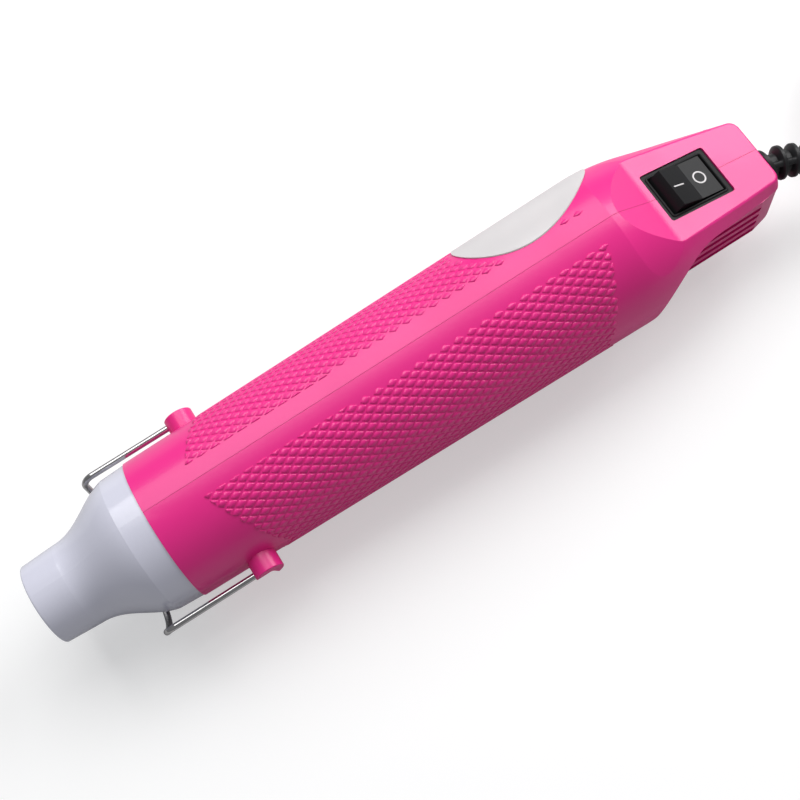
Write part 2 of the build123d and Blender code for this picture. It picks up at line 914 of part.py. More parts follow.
def make_switch():
    """Housing, rocker in its off position, and the two blade terminals."""
    top = -bezel_sink
    under = top - bezel_thickness
    floor = top - switch_depth
    housing = facet_box(bezel_length, bezel_width, under, top, 0, bezel_corner)
    housing = housing + facet_box(switch_body_length, switch_body_width, floor, under)
    housing = housing - facet_box(window_length, window_width, floor + switch_base, top + overrun)
    pivot = facet_plane.location * Pos(0, 0, top - rocker_pivot_depth)
    pin_hole = pivot * Rot(90, 0, 0) * Cylinder(rocker_pin_radius + running_gap,
                                                  window_width + rocker_pin_reach * 2 + running_gap)
    housing = housing - pin_hole
    terminals = []
    for side in (-1, 1):
        middle = side * blade_terminal_spacing / 2
        terminal = facet_box(blade_terminal_thickness, blade_terminal_width, floor - blade_terminal_length,
                             floor + switch_base, middle)
        housing = housing - terminal
        terminals.append(terminal)
    face_drop = rocker_radius * math.tan(math.radians(rocker_face_deg))
    outline = Polyline(
        (0, rocker_face_height),
        (rocker_radius, rocker_face_height + face_drop),
        (rocker_radius, -rocker_skirt),
        (-rocker_radius, -rocker_skirt),
        (-rocker_radius, rocker_face_height + face_drop),
        close=True,
    )
    face = make_face(outline) & Circle(rocker_radius)
    plane = Plane(origin=(0, 0, 0), x_dir=(1, 0, 0), z_dir=(0, -1, 0))
    rocker = extrude(plane * face, rocker_width / 2, both=True)
    pin = Rot(90, 0, 0) * Cylinder(rocker_pin_radius, window_width + rocker_pin_reach * 2)
    rocker = rocker + pin
    rocker = pivot * Rot(0, -rocker_throw_deg / 2, 0) * rocker
    return housing, rocker, Compound(children=terminals)


# Wire stand


def make_stand():
    """Bent wire: two pivot ends, two legs and the bow that passes under the nozzle."""
    bow_depth = axis_height - wire_radius
    lean = 90 - 2 * math.degrees(math.atan(bow_depth / (stand_leg_offset + stand_corner_bend)))
    lean_sin = math.sin(math.radians(lean))
    lean_cos = math.cos(math.radians(lean))
    pivot_x = fore(stand_station)
    bow_x = pivot_x + stand_leg_length
    bend = stand_pin_bend
    corner = stand_corner_bend
    half_turn = math.sin(math.radians(45))

    def leg(side):
        out = side * stand_leg_offset
        pin_start = Vector(pivot_x, side * stand_pin_end, axis_height)
        pin_stop = Vector(pivot_x, out - side * bend, axis_height)
        pin_mid = Vector(pivot_x + bend * (1 - half_turn), out - side * bend * (1 - half_turn), axis_height)
        leg_start = Vector(pivot_x + bend, out, axis_height)
        leg_stop = Vector(bow_x - corner, out, axis_height)
        down = Vector(0, -side * lean_sin, -lean_cos)
        mid = Vector(bow_x - corner * (1 - half_turn), out, axis_height) + down * corner * (1 - half_turn)
        bow_start = Vector(bow_x, out, axis_height) + down * corner
        return [
            Line(pin_start, pin_stop),
            ThreePointArc(pin_stop, pin_mid, leg_start),
            Line(leg_start, leg_stop),
            ThreePointArc(leg_stop, mid, bow_start),
        ], bow_start

    left, left_end = leg(1)
    right, right_end = leg(-1)
    lowest = Vector(bow_x, 0, axis_height - bow_depth)
    bow_radius = left_end.Y / lean_cos
    centre = lowest + Vector(0, 0, bow_radius)
    half_angle = math.radians(90 - lean) / 2
    left_mid = centre + Vector(0, math.sin(half_angle), -math.cos(half_angle)) * bow_radius
    right_mid = centre + Vector(0, -math.sin(half_angle), -math.cos(half_angle)) * bow_radius
    edges = left + [ThreePointArc(left_end, left_mid, lowest), ThreePointArc(lowest, right_mid, right_end)]
    path = Wire([piece.edges()[0] for piece in edges + right[::-1]])
    profile = Plane(origin=(pivot_x, stand_pin_end, axis_height), z_dir=(0, 1, 0)) * Circle(wire_radius)
    print(f"stand: bow radius {bow_radius:.2f}, lean {lean:.2f} degrees")
    return sweep(profile, path=path)


# Label and screws


def make_label():
    """Thin bare oval plate that lies on the right flank of the barrel."""
    skin = revolved_body(-label_thickness - running_gap) - revolved_body(-running_gap)
    middle_radius = barrel_radius(label_station)
    outline = Rot(0, 0, label_tilt_deg) * Ellipse(label_length / 2, label_width / 2)
    place = Pos(fore(label_station), 0, axis_height) * Rot(-label_angle_deg, 0, 0)
    prism = place * Pos(0, 0, middle_radius / 2) * extrude(outline, middle_radius)
    trimmed = skin & prism
    return trimmed - dip_cutter(-label_thickness - running_gap)


def make_screws():
    """Four casing screws, each with a round head."""
    screws = []
    for station, height in post_places:
        seat = -outer_side(station, height) * screw_seat_share
        shank = cross_bar(station, height, seat, screw_reach, screw_radius)
        head = cross_bar(station, height, seat - screw_head_height, seat, screw_head_radius)
        screws.append(shank + head)
    return Compound(children=screws)


# Lead, strain relief, clamp and inner wires


def relief_point(distance):
    """Point of the strain relief's bent axis and its heading there."""
    tilt = math.radians(relief_tilt_deg)
    angle = tilt + distance / relief_bend_radius
    back = relief_bend_radius * (math.sin(angle) - math.sin(tilt))
    aside = relief_bend_radius * (math.cos(tilt) - math.cos(angle))
    sway = relief_sway_share
    drop = math.sqrt(1 - sway * sway)
    place = Vector(
        fore(tool_length) - relief_collar_length / 2 - back,
        exit_offset + aside * sway,
        axis_height + exit_height - aside * drop,
    )
    heading = Vector(-math.cos(angle), math.sin(angle) * sway, -math.sin(angle) * drop)
    return place, heading


def make_relief():
    """Ribbed strain relief with its collar, and the spigot that holds it in the rear wall."""
    start, start_heading = relief_point(0)
    middle, _ = relief_point(relief_length / 2)
    end, end_heading = relief_point(relief_length)
    axis_arc = ThreePointArc(start, middle, end)
    first = Plane(origin=start, z_dir=start_heading) * Circle(relief_neck_radius)
    last = Plane(origin=end, z_dir=end_heading) * Circle(relief_core_end_radius)
    body = sweep([first, last], path=axis_arc, multisection=True)
    body = body + bar(tool_length, tool_length + relief_collar_length, relief_collar_radius, exit_offset,
                      exit_height)
    body = body + bar(tool_length - wall, tool_length, relief_spigot_radius, exit_offset, exit_height)
    for index in range(relief_rib_count):
        distance = relief_rib_start + relief_rib_pitch * index
        share = index / (relief_rib_count - 1)
        radius = relief_rib_radius + (relief_rib_end_radius - relief_rib_radius) * share
        place, heading = relief_point(distance)
        rib = Plane(origin=place, z_dir=heading) * Cylinder(radius, relief_rib_width)
        body = body + rib
    bore_end = tool_length - wall
    return body - bar(bore_end - overrun, bore_end + wall / 2, cord_radius + running_gap, exit_offset,
                      exit_height)


def make_inner_cord():
    """End of the lead inside the casing, from the strain relief to just past the clamp."""
    return bar(clamp_front - seat_gap, tool_length - wall / 2, cord_radius, exit_offset, exit_height)


def make_clamp():
    """Bar that presses the lead against its seat, and two small screws."""
    front = clamp_front
    rear = clamp_front + clamp_width
    left = exit_offset - cord_radius
    right = left - clamp_bar_thickness
    low = exit_height - clamp_half_height
    high = exit_height + clamp_half_height
    clamp = block(front, rear, right, left, low, high)
    screws = []
    for side in (-1, 1):
        height = exit_height + side * clamp_screw_spread
        clamp = clamp - cross_bar((front + rear) / 2, height, right - overrun, left + overrun,
                                  clamp_screw_radius + running_gap)
        screw = cross_bar((front + rear) / 2, height, right, left + clamp_screw_length, clamp_screw_radius)
        screw = screw + cross_bar((front + rear) / 2, height, right - clamp_screw_head_height, right,
                                  clamp_screw_head_radius)
        screws.append(screw)
    return clamp, Compound(children=screws)


def tube_along(points, radius, share=0.45):
    """A round wire along straight runs that are joined by tangent arcs, and its least arc radius."""
    places = [Vector(*point) for point in points]
    radii = []
    for before, here, after in zip(places, places[1:], places[2:]):
        turn = math.radians((here - before).get_angle(after - here))
        shorter = min((here - before).length, (after - here).length)
        radii.append(share * shorter / math.tan(turn / 2))
    path = FilletPolyline(*places, radius=radii) if radii else Line(*places)
    solid = sweep(Plane(origin=path @ 0, z_dir=path % 0) * Circle(radius), path=path)
    expected = math.pi * radius * radius * path.length
    return solid, path.length, radii, solid.volume / expected


def lead_route():
    """Route of the free lead: out of the strain relief, down to the floor and on to the coil."""
    end, heading = relief_point(relief_length)
    falling = end + heading * lead_first_run
    landing = Vector(falling.X - lead_swing_back, falling.Y + lead_swing_side, cord_radius + floor_gap)
    coil_start = landing + coil_axes()[1] * lead_last_run
    return [end, falling, landing, coil_start]


def coil_axes():
    """Side and travel directions of the coil at the point where the lead joins it."""
    angle = math.radians(coil_heading_deg)
    travel = Vector(math.cos(angle), math.sin(angle), 0)
    side = Vector(math.sin(angle), -math.cos(angle), 0)
    return side, travel


def coil_points():
    """Ends and middles of the coil's half turns, column by column, with the lift to the plug last."""
    side, travel = coil_axes()
    start = lead_route()[-1] + travel * cord_diameter
    centre = start - side * coil_outer_radius
    step = cord_diameter + coil_turn_gap
    rise = (cord_diameter + coil_level_gap) / 2
    levels = [rise * index for index in range(coil_level_count + 1)]
    radii = []
    heights = []
    for column in range(coil_columns):
        radii += [coil_outer_radius - step * column] * len(levels)
        heights += levels[::-1] if column % 2 else levels
    # The last column stops short, and its end lifts the lead to the plug that lies on the coil.
    kept = len(heights) - coil_lift_count - 1
    plug_height = levels[-1] + cord_radius + floor_gap + plug_thickness / 2
    lift = (plug_height - heights[kept - 1]) / coil_lift_count
    heights = heights[:kept] + [heights[kept - 1] + lift * (index + 1) for index in range(coil_lift_count)]
    ends = []
    for index, (radius, height) in enumerate(zip(radii, heights)):
        sign = -1 if index % 2 else 1
        ends.append(centre + side * (sign * radius) + Vector(0, 0, height))
    middles = []
    for index, (before, after) in enumerate(zip(ends, ends[1:])):
        sign = -1 if index % 2 else 1
        middles.append((before + after) * (1 / 2) + travel * (sign * (after - before).length / 2))
    return ends, middles


def least_coil_gap(ends, middles):
    """Least gap of the coil's tube to itself, measured on points of its centre line."""
    points = []
    travelled = []
    length = 0
    samples = 48
    for before, middle, after in zip(ends, middles, ends[1:]):
        half_chord = (after - before) * (1 / 2)
        centre = (before + after) * (1 / 2)
        across = middle - centre
        for index in range(samples):
            angle = math.pi * index / samples
            points.append(centre - half_chord * math.cos(angle) + across * math.sin(angle))
            travelled.append(length + half_chord.length * angle)
        length += math.pi * half_chord.length
    least = length
    for index, point in enumerate(points):
        for other in range(index + samples, len(points)):
            if travelled[other] - travelled[index] > coil_outer_radius:
                gap = (points[other] - point).length - cord_diameter
                least = min(least, gap)
    return least, length


def make_coil():
    """Stored lead as one unbroken tube of half turns, with a short straight run at each end."""
    ends, middles = coil_points()
    pieces = []
    for before, middle, after in zip(ends, middles, ends[1:]):
        pieces.append(ThreePointArc(before, middle, after).edges()[0])
    travel = coil_axes()[1]
    first = ends[0] - travel * cord_diameter
    last = ends[-1] + travel * cord_diameter
    path = Wire([Line(first, ends[0]).edges()[0], *pieces, Line(ends[-1], last).edges()[0]])
    profile = Plane(origin=first, z_dir=travel) * Circle(cord_radius)
    gap, length = least_coil_gap(ends, middles)
    length += cord_diameter * 2
    print(f"coil: length {length:.1f}, least gap to itself {gap:.2f}")
    return sweep(profile, path=path), last, length


def make_plug(start, heading):
    """Flat two-pin plug that lies on the coil, and its two pins."""
    plane = Plane(origin=start, x_dir=Vector(0, 0, 1).cross(heading), z_dir=heading)
    heel = plane * Rectangle(plug_heel_width, plug_heel_thickness)
    shoulder = plane.offset(plug_nose_length) * Rectangle(plug_width, plug_thickness)
    body = loft([heel, shoulder])
    rest = plane.offset(plug_nose_length) * extrude(
        fillet(Rectangle(plug_width, plug_thickness).vertices(), plug_round), plug_length - plug_nose_length
    )
    body = body + rest
    face = plane.offset(plug_length)
    pins = []
    for side in (-1, 1):
        pin = Cylinder(pin_radius, pin_length, align=(Align.CENTER, Align.CENTER, Align.MIN))
        pin = fillet(pin.edges().group_by(Axis.Z)[-1], pin_tip_round)
        pins.append(face * Pos(side * pin_spacing / 2, 0, 0) * pin)
    return body, Compound(children=pins)


def save(shape, name):
    """Write one node."""
    export_step(shape, f"parts/{name}.step")


def main():
    os.makedirs("parts", exist_ok=True)
    left, right = make_casing()
    save(left, "casing_left")
    save(right, "casing_right")
    save(make_nozzle(), "nozzle")
    names = ("heater_tube", "mica_sleeve", "mica_former", "former_disc", "heating_element", "thermal_cutoff")
    for name, shape in zip(names, make_heater()):
        save(shape, name)
    save(make_duct(), "air_duct")
    names = ("motor_can", "motor_end_cap", "motor_magnets", "motor_rotor", "motor_shaft")
    for name, shape in zip(names, make_motor()):
        save(shape, name)
    save(make_fan(), "fan_impeller")
    for name, shape in zip(("rectifier_board", "motor_lugs", "rectifier_diodes"), make_board()):
        save(shape, name)
    for name, shape in zip(("switch_housing", "switch_rocker", "switch_terminals"), make_switch()):
        save(shape, name)
    save(make_stand(), "stand_wire")
    save(make_label(), "label_plate")
    save(make_screws(), "casing_screws")
    save(make_relief(), "strain_relief")
    save(make_inner_cord(), "cord_inner")
    for name, shape in zip(("cord_clamp", "clamp_screws"), make_clamp()):
        save(shape, name)
    lead, lead_length, radii, ratio = tube_along(lead_route(), cord_radius)
    print(f"lead: length {lead_length:.1f}, arcs {[round(r, 1) for r in radii]}, volume ratio {ratio:.4f}")
    save(lead, "cord_lead")
    coil, coil_end, coil_length = make_coil()
    save(coil, "cord_coil")
    print(f"cord: whole length {lead_length + coil_length:.1f}")
    plug, pins = make_plug(coil_end, coil_axes()[1])
    save(plug, "plug_body")
    save(pins, "plug_pins")


if __name__ == "__main__":
    main()
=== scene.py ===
"""Looks of a slim hot-air embossing tool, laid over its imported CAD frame.

Every piece is in metres in the frame of the CAD part: +X out of the nozzle, +Y to the left and
+Z up, with the floor at zero. A station is a distance back from the nozzle's mouth.
"""

import json
import logging
from dataclasses import dataclass
from enum import Enum

import bmesh
import bpy
import numpy as np
from mathutils import Matrix


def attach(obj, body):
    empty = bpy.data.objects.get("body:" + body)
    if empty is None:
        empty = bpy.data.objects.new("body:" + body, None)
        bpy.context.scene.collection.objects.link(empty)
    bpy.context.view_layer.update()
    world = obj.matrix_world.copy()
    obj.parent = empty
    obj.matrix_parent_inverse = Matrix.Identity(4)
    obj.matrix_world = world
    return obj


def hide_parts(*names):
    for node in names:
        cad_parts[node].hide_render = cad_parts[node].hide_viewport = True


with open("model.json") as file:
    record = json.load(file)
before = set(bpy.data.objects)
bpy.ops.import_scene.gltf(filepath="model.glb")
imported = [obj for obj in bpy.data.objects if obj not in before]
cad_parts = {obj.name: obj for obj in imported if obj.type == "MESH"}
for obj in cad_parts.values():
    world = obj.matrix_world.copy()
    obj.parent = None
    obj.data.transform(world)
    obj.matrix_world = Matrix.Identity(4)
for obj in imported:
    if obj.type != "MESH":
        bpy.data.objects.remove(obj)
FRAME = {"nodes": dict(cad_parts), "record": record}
LOG = logging.getLogger("heat_tool")

MM = 0.001
DEGREE = np.pi / 180
TOOL_LENGTH = 222.0 * MM
AXIS_HEIGHT = 22.2 * MM
BARREL_FRONT = 36.2 * MM
BARREL_FRONT_RADIUS = 20.1 * MM
BARREL_SLOPE = 2.1 / 138.6
CORD_DIAMETER = 5.2 * MM
FACET_PLACE = (-87.7 * MM, 34.4 * MM)
FACET_SLOPE = 15.2 * DEGREE
SINK = 0.05 * MM

Colour = tuple[float, float, float]
Place = tuple[float, float, float]
Pair = tuple[float, float]
Piece = bpy.types.Object
Socket = bpy.types.NodeSocket
Tree = bpy.types.NodeTree


class Body(Enum):
    """Bodies of the CAD part that pieces ride on."""

    TOOL = "tool"
    ROCKER = "rocker"


class Flank(Enum):
    """Side of the casing, as the sign of Y."""

    LEFT = 1
    RIGHT = -1


def fore(station: float) -> float:
    """Place of a station along X.

    Args:
        station: Distance back from the nozzle's mouth.

    Returns:
        The X coordinate.
    """
    return TOOL_LENGTH / 2 - station


def barrel_radius(station: np.ndarray | float) -> np.ndarray | float:
    """Outer radius of the barrel, a straight taper along its stations.

    Args:
        station: One or more stations.

    Returns:
        The radius at each of them.
    """
    return BARREL_FRONT_RADIUS + BARREL_SLOPE * (station - BARREL_FRONT)


def full_turn(count: int) -> np.ndarray:
    """Angles of points spaced evenly round a circle."""
    return np.linspace(0, 2 * np.pi, count, endpoint=False)


def on_facet(along: np.ndarray, aside: np.ndarray, up: np.ndarray) -> np.ndarray:
    """Points given in the directions of the switch facet.

    Args:
        along: Distances from the facet's middle towards the nozzle, up its slope.
        aside: Distances to the left.
        up: Heights over the facet.

    Returns:
        The points.
    """
    x = FACET_PLACE[0] + along * np.cos(FACET_SLOPE) - up * np.sin(FACET_SLOPE)
    z = FACET_PLACE[1] + along * np.sin(FACET_SLOPE) + up * np.cos(FACET_SLOPE)
    return np.stack(np.broadcast_arrays(x, aside, z), axis=-1)


def grid_faces(rows: int, columns: int, round_columns: bool = False) -> np.ndarray:
    """Quads between neighbouring points of a grid of rows and columns.

    Args:
        rows: Number of rows of points.
        columns: Number of points in a row.
        round_columns: True if each row is a closed ring.

    Returns:
        An array of four point numbers a face.
    """
    across = columns if round_columns else columns - 1
    row, column = np.meshgrid(np.arange(rows - 1), np.arange(across), indexing="ij")
    following = (column + 1) % columns
    corners = [row * columns + column, row * columns + following,
               (row + 1) * columns + following, (row + 1) * columns + column]
    return np.stack(corners, axis=-1).reshape(-1, 4)


def closed_faces(rows: int, columns: int, start: int) -> list[list[int]]:
    """Faces of a stack of closed rings, with a face over its first and its last ring.

    Args:
        rows: Number of rings.
        columns: Number of points in a ring.
        start: Number of the first point.

    Returns:
        The point numbers of each face.
    """
    ends = [list(range(first, first + columns)) for first in (start, start + (rows - 1) * columns)]
    return (grid_faces(rows, columns, round_columns=True) + start).tolist() + ends


def set_out(name: str, data: bpy.types.ID) -> Piece:
    """A new object in the scene, at the origin.

    Args:
        name: Name of the object.
        data: Its mesh, curve, lamp or camera.

    Returns:
        The object.
    """
    made = bpy.data.objects.new(name, data)
    bpy.context.collection.objects.link(made)
    return made


def make_piece(name: str, points: np.ndarray, faces: list[list[int]], slot: str, body: Body) -> Piece:
    """A smooth mesh piece that takes its finish from a slot and rides on a body.

    Args:
        name: Name of the piece.
        points: Array of points, in metres.
        faces: Point numbers of each face.
        slot: Material slot of the record.
        body: CAD body that carries the piece.

    Returns:
        The new object.
    """
    mesh = bpy.data.meshes.new(name)
    mesh.from_pydata(points.reshape(-1, 3).tolist(), [], faces)
    mesh.shade_smooth()
    piece = set_out(name, mesh)
    mesh.materials.append(finish_of(slot).material())
    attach(piece, body.value)
    LOG.info("%s: %d points, %d faces", name, len(mesh.vertices), len(mesh.polygons))
    return piece


# Node trees


@dataclass
class Wiring:
    """A node tree and the ways to fill it.

    Attributes:
        tree: The node tree.
    """

    tree: Tree

    def fill(self, node: bpy.types.Node, inputs: dict[str | int, object]) -> None:
        """Set inputs of a node.

        Args:
            node: The node.
            inputs: A value, or a socket to link, by the input's name or number.
        """
        for key, value in inputs.items():
            if isinstance(value, Socket):
                self.tree.links.new(value, node.inputs[key])
            else:
                node.inputs[key].default_value = value

    def node(self, kind: str, inputs: dict[str | int, object] | None = None, **settings: object) -> bpy.types.Node:
        """A new node.

        Args:
            kind: Its type.
            inputs: What goes into it, as for fill.
            settings: Its properties.

        Returns:
            The node.
        """
        made = self.tree.nodes.new(kind)
        for key, value in settings.items():
            setattr(made, key, value)
        self.fill(made, inputs or {})
        return made


@dataclass
class GroupSheet(Wiring):
    """A shared shader node group while it is built.

    Attributes:
        given: The sockets of its inputs.
    """

    given: bpy.types.NodeOutputs

    @classmethod
    def open(cls, name: str, **inputs: str) -> "GroupSheet":
        """A new group.

        Args:
            name: Name of the group.
            inputs: Kind of each input's socket, by the input's name.

        Returns:
            The open group.
        """
        tree = bpy.data.node_groups.new(name, "ShaderNodeTree")
        for label, kind in inputs.items():
            tree.interface.new_socket(name=label, in_out="INPUT", socket_type=f"NodeSocket{kind}")
        return cls(tree, tree.nodes.new("NodeGroupInput").outputs)

    def close(self, **outputs: Socket) -> Tree:
        """The finished group.

        Args:
            outputs: Socket of the number that goes out under each name.

        Returns:
            The group.
        """
        for label in outputs:
            self.tree.interface.new_socket(name=label, in_out="OUTPUT", socket_type="NodeSocketFloat")
        self.node("NodeGroupOutput", outputs)
        return self.tree


def mould_grain() -> Tree:
    """Fine skin of a moulding: a height of fine grain, and a broad mottle.

    Returns:
        The group.
    """
    sheet = GroupSheet.open("mould_grain", Vector="Vector", Scale="Float", Broad="Float")
    fine = sheet.node("ShaderNodeTexNoise", {"Vector": sheet.given["Vector"], "Scale": sheet.given["Scale"],
                                             "Detail": 4.0, "Roughness": 0.6})
    broad = sheet.node("ShaderNodeTexNoise", {"Vector": sheet.given["Vector"], "Scale": sheet.given["Broad"],
                                              "Detail": 2.0})
    spread = sheet.node("ShaderNodeMapRange", {"Value": broad.outputs["Fac"], "From Min": 0.35, "From Max": 0.65},
                        interpolation_type="SMOOTHSTEP")
    return sheet.close(Height=fine.outputs["Fac"], Mottle=spread.outputs["Result"])


def parting_line() -> Tree:
    """Mask of the narrow joint between the casing's halves, one where Y is nearly zero.

    Returns:
        The group.
    """
    sheet = GroupSheet.open("parting_line", Vector="Vector", Width="Float")
    split = sheet.node("ShaderNodeSeparateXYZ", {"Vector": sheet.given["Vector"]})
    size = sheet.node("ShaderNodeMath", {0: split.outputs["Y"]}, operation="ABSOLUTE")
    ratio = sheet.node("ShaderNodeMath", {0: size.outputs["Value"], 1: sheet.given["Width"]}, operation="DIVIDE")
    fall = sheet.node("ShaderNodeMapRange", {"Value": ratio.outputs["Value"], "From Min": 0.4, "From Max": 1.0,
                                             "To Min": 1.0, "To Max": 0.0}, interpolation_type="SMOOTHSTEP")
    return sheet.close(Mask=fall.outputs["Result"])


def drawn_lines() -> Tree:
    """Fine lines of drawn, turned or rolled metal: noise stretched along one direction.

    Returns:
        The group.
    """
    sheet = GroupSheet.open("drawn_lines", Vector="Vector", Stretch="Vector", Scale="Float")
    pull = sheet.node("ShaderNodeVectorMath", {0: sheet.given["Vector"], 1: sheet.given["Stretch"]},
                      operation="MULTIPLY")
    lines = sheet.node("ShaderNodeTexNoise", {"Vector": pull.outputs["Vector"], "Scale": sheet.given["Scale"],
                                              "Detail": 3.0})
    contrast = sheet.node("ShaderNodeMapRange", {"Value": lines.outputs["Fac"], "From Min": 0.3, "From Max": 0.7})
    return sheet.close(Height=lines.outputs["Fac"], Streak=contrast.outputs["Result"])


def pressed_flakes() -> Tree:
    """Overlapping flakes or fibres of a pressed board: cells with their own tone.

    Returns:
        The group.
    """
    sheet = GroupSheet.open("pressed_flakes", Vector="Vector", Scale="Float")
    cells = sheet.node("ShaderNodeTexVoronoi", {"Vector": sheet.given["Vector"], "Scale": sheet.given["Scale"],
                                                "Randomness": 1.0}, feature="F1")
    tone = sheet.node("ShaderNodeSeparateColor", {"Color": cells.outputs["Color"]})
    return sheet.close(Height=cells.outputs["Distance"], Tone=tone.outputs["Red"])


GROUPS = {make.__name__: make() for make in (mould_grain, parting_line, drawn_lines, pressed_flakes)}


# Finishes

GRAINS_A_PATCH = 60
COAT_ROUGHNESS = 0.12
SEAM_DEPTH = 0.07 * MM


@dataclass
class Bench(Wiring):
    """A material on the bench, with the helpers that its finish wires it by.

    Attributes:
        material: The material.
    """

    material: bpy.types.Material

    @classmethod
    def open(cls, name: str) -> "Bench":
        """A new material with a Principled BSDF.

        Args:
            name: Name of the material.

        Returns:
            The bench with the material on it.
        """
        material = bpy.data.materials.new(name)
        material.use_nodes = True
        return cls(material.node_tree, material)

    @property
    def shader(self) -> bpy.types.Node:
        """The material's Principled BSDF."""
        return self.tree.nodes["Principled BSDF"]

    def place(self) -> Socket:
        """Object coordinates, in metres."""
        return self.node("ShaderNodeTexCoord").outputs["Object"]

    def group(self, name: str, **values: object) -> bpy.types.NodeOutputs:
        """A shared group on Object coordinates.

        Args:
            name: Name of the group.
            values: Values of its other inputs.

        Returns:
            The sockets of its outputs.
        """
        return self.node("ShaderNodeGroup", {"Vector": self.place(), **values}, node_tree=GROUPS[name]).outputs

    def blend(self, factor: Socket, first: Colour | Socket,
              second: Colour) -> Socket:
        """A colour between two others.

        Args:
            factor: Zero for the first colour and one for the second.
            first: A colour, or a socket that gives it.
            second: The other colour.

        Returns:
            The mixed colour's socket.
        """
        start = first if isinstance(first, Socket) else (*first, 1.0)
        return self.node("ShaderNodeMix", {0: factor, 6: start, 7: (*second, 1.0)}, data_type="RGBA").outputs[2]

    def ramp(self, value: Socket, low: float, high: float) -> Socket:
        """A value from zero to one, spread between a low and a high number."""
        return self.node("ShaderNodeMapRange", {"Value": value, "To Min": low, "To Max": high}).outputs["Result"]

    def bump(self, height: Socket, depth: float, strength: float,
             under: Socket | None = None) -> Socket:
        """A normal that follows a height.

        Args:
            height: Socket of the height, from zero to one.
            depth: Depth of a height of one, in metres.
            strength: Share of the effect that shows.
            under: Normal that it lies over, if there is one.

        Returns:
            The normal's socket.
        """
        inputs = {"Height": height, "Distance": depth, "Strength": strength}
        if under is not None:
            inputs["Normal"] = under
        return self.node("ShaderNodeBump", inputs).outputs["Normal"]


@dataclass(frozen=True)
class Finish:
    """A finish, made into a material once.

    Attributes:
        name: Name of the finish.
        colour: Main colour, linear.
        tint: Colour that the finish varies to.
        roughness: Lowest and highest roughness.
    """

    name: str
    colour: Colour
    tint: Colour
    roughness: Pair

    def material(self) -> bpy.types.Material:
        """The finish's material, built at its first use.

        Returns:
            The material.
        """
        known = bpy.data.materials.get(self.name)
        if known is not None:
            return known
        bench = Bench.open(self.name)
        self.dress(bench)
        return bench.material

    def dress(self, bench: Bench) -> None:
        """Wire the material; each kind of finish has its own way."""
        raise NotImplementedError

    def vary(self, bench: Bench, tone: Socket, height: Socket, depth: float) -> None:
        """Colour and roughness that follow a tone, and bump that follows a height.

        Args:
            bench: The material on the bench.
            tone: Zero for the main colour and the lowest roughness, one for the tint and the highest.
            height: Socket of the height.
            depth: Depth of a height of one, in metres.
        """
        bench.fill(bench.shader, {"Base Color": bench.blend(tone, self.colour, self.tint),
                                  "Roughness": bench.ramp(tone, *self.roughness),
                                  "Normal": bench.bump(height, depth, 0.5)})


@dataclass(frozen=True)
class Moulding(Finish):
    """Moulded plastic or rubber: mottled colour, fine grain, and a seam where halves meet.

    Attributes:
        grain: Grains to a metre.
        depth: Depth of the grain, in metres.
        coat: Weight of the glossy skin.
        seam: Half width of the joint line, or zero for none.
        seam_colour: Colour in the joint line.
        shine: Specular level.
    """

    grain: float = 2600.0
    depth: float = 0.00002
    coat: float = 0.0
    seam: float = 0.0
    seam_colour: Colour = (0.2, 0.2, 0.2)
    shine: float = 0.5

    def dress(self, bench: Bench) -> None:
        """Grain to bump, mottle to colour and roughness, and the joint line over both.

        Args:
            bench: The material on the bench.
        """
        grain = bench.group("mould_grain", Scale=self.grain, Broad=self.grain / GRAINS_A_PATCH)
        colour = bench.blend(grain["Mottle"], self.colour, self.tint)
        normal = bench.bump(grain["Height"], self.depth, 0.6)
        if self.seam:
            line = bench.group("parting_line", Width=self.seam)["Mask"]
            colour = bench.blend(line, colour, self.seam_colour)
            normal = bench.bump(bench.ramp(line, 1.0, 0.0), SEAM_DEPTH, 1.0, normal)
        bench.fill(bench.shader, {
            "Base Color": colour, "Roughness": bench.ramp(grain["Mottle"], *self.roughness), "Normal": normal,
            "Coat Weight": self.coat, "Coat Roughness": COAT_ROUGHNESS, "Specular IOR Level": self.shine})


@dataclass(frozen=True)
class Metal(Finish):
    """Metal with the lines of its drawing, turning or rolling.

    Attributes:
        stretch: How the lines are stretched along X, Y and Z.
        lines: Lines to a metre across them.
        depth: Depth of the lines, in metres.
    """

    stretch: Place = (0.05, 1.0, 1.0)
    lines: float = 4000.0
    depth: float = 0.00001

    def dress(self, bench: Bench) -> None:
        """Lines to bump, roughness and a slight change of colour.

        Args:
            bench: The material on the bench.
        """
        lines = bench.group("drawn_lines", Stretch=self.stretch, Scale=self.lines)
        self.vary(bench, lines["Streak"], lines["Height"], self.depth)
        bench.fill(bench.shader, {"Metallic": 1.0})


@dataclass(frozen=True)
class PressedBoard(Finish):
    """Board pressed from flakes or fibres, such as mica or phenolic board.

    Attributes:
        flakes: Flakes to a metre.
        depth: Depth of the flakes' edges, in metres.
    """

    flakes: float = 900.0
    depth: float = 0.00003

    def dress(self, bench: Bench) -> None:
        """Each flake has its own tone, and its edge stands up a little."""
        flakes = bench.group("pressed_flakes", Scale=self.flakes)
        self.vary(bench, flakes["Tone"], flakes["Height"], self.depth)


PINK = (0.86, 0.024, 0.262)
PINK_DEEP = (0.83, 0.020, 0.248)
PINK_SEAM = (0.66, 0.013, 0.175)

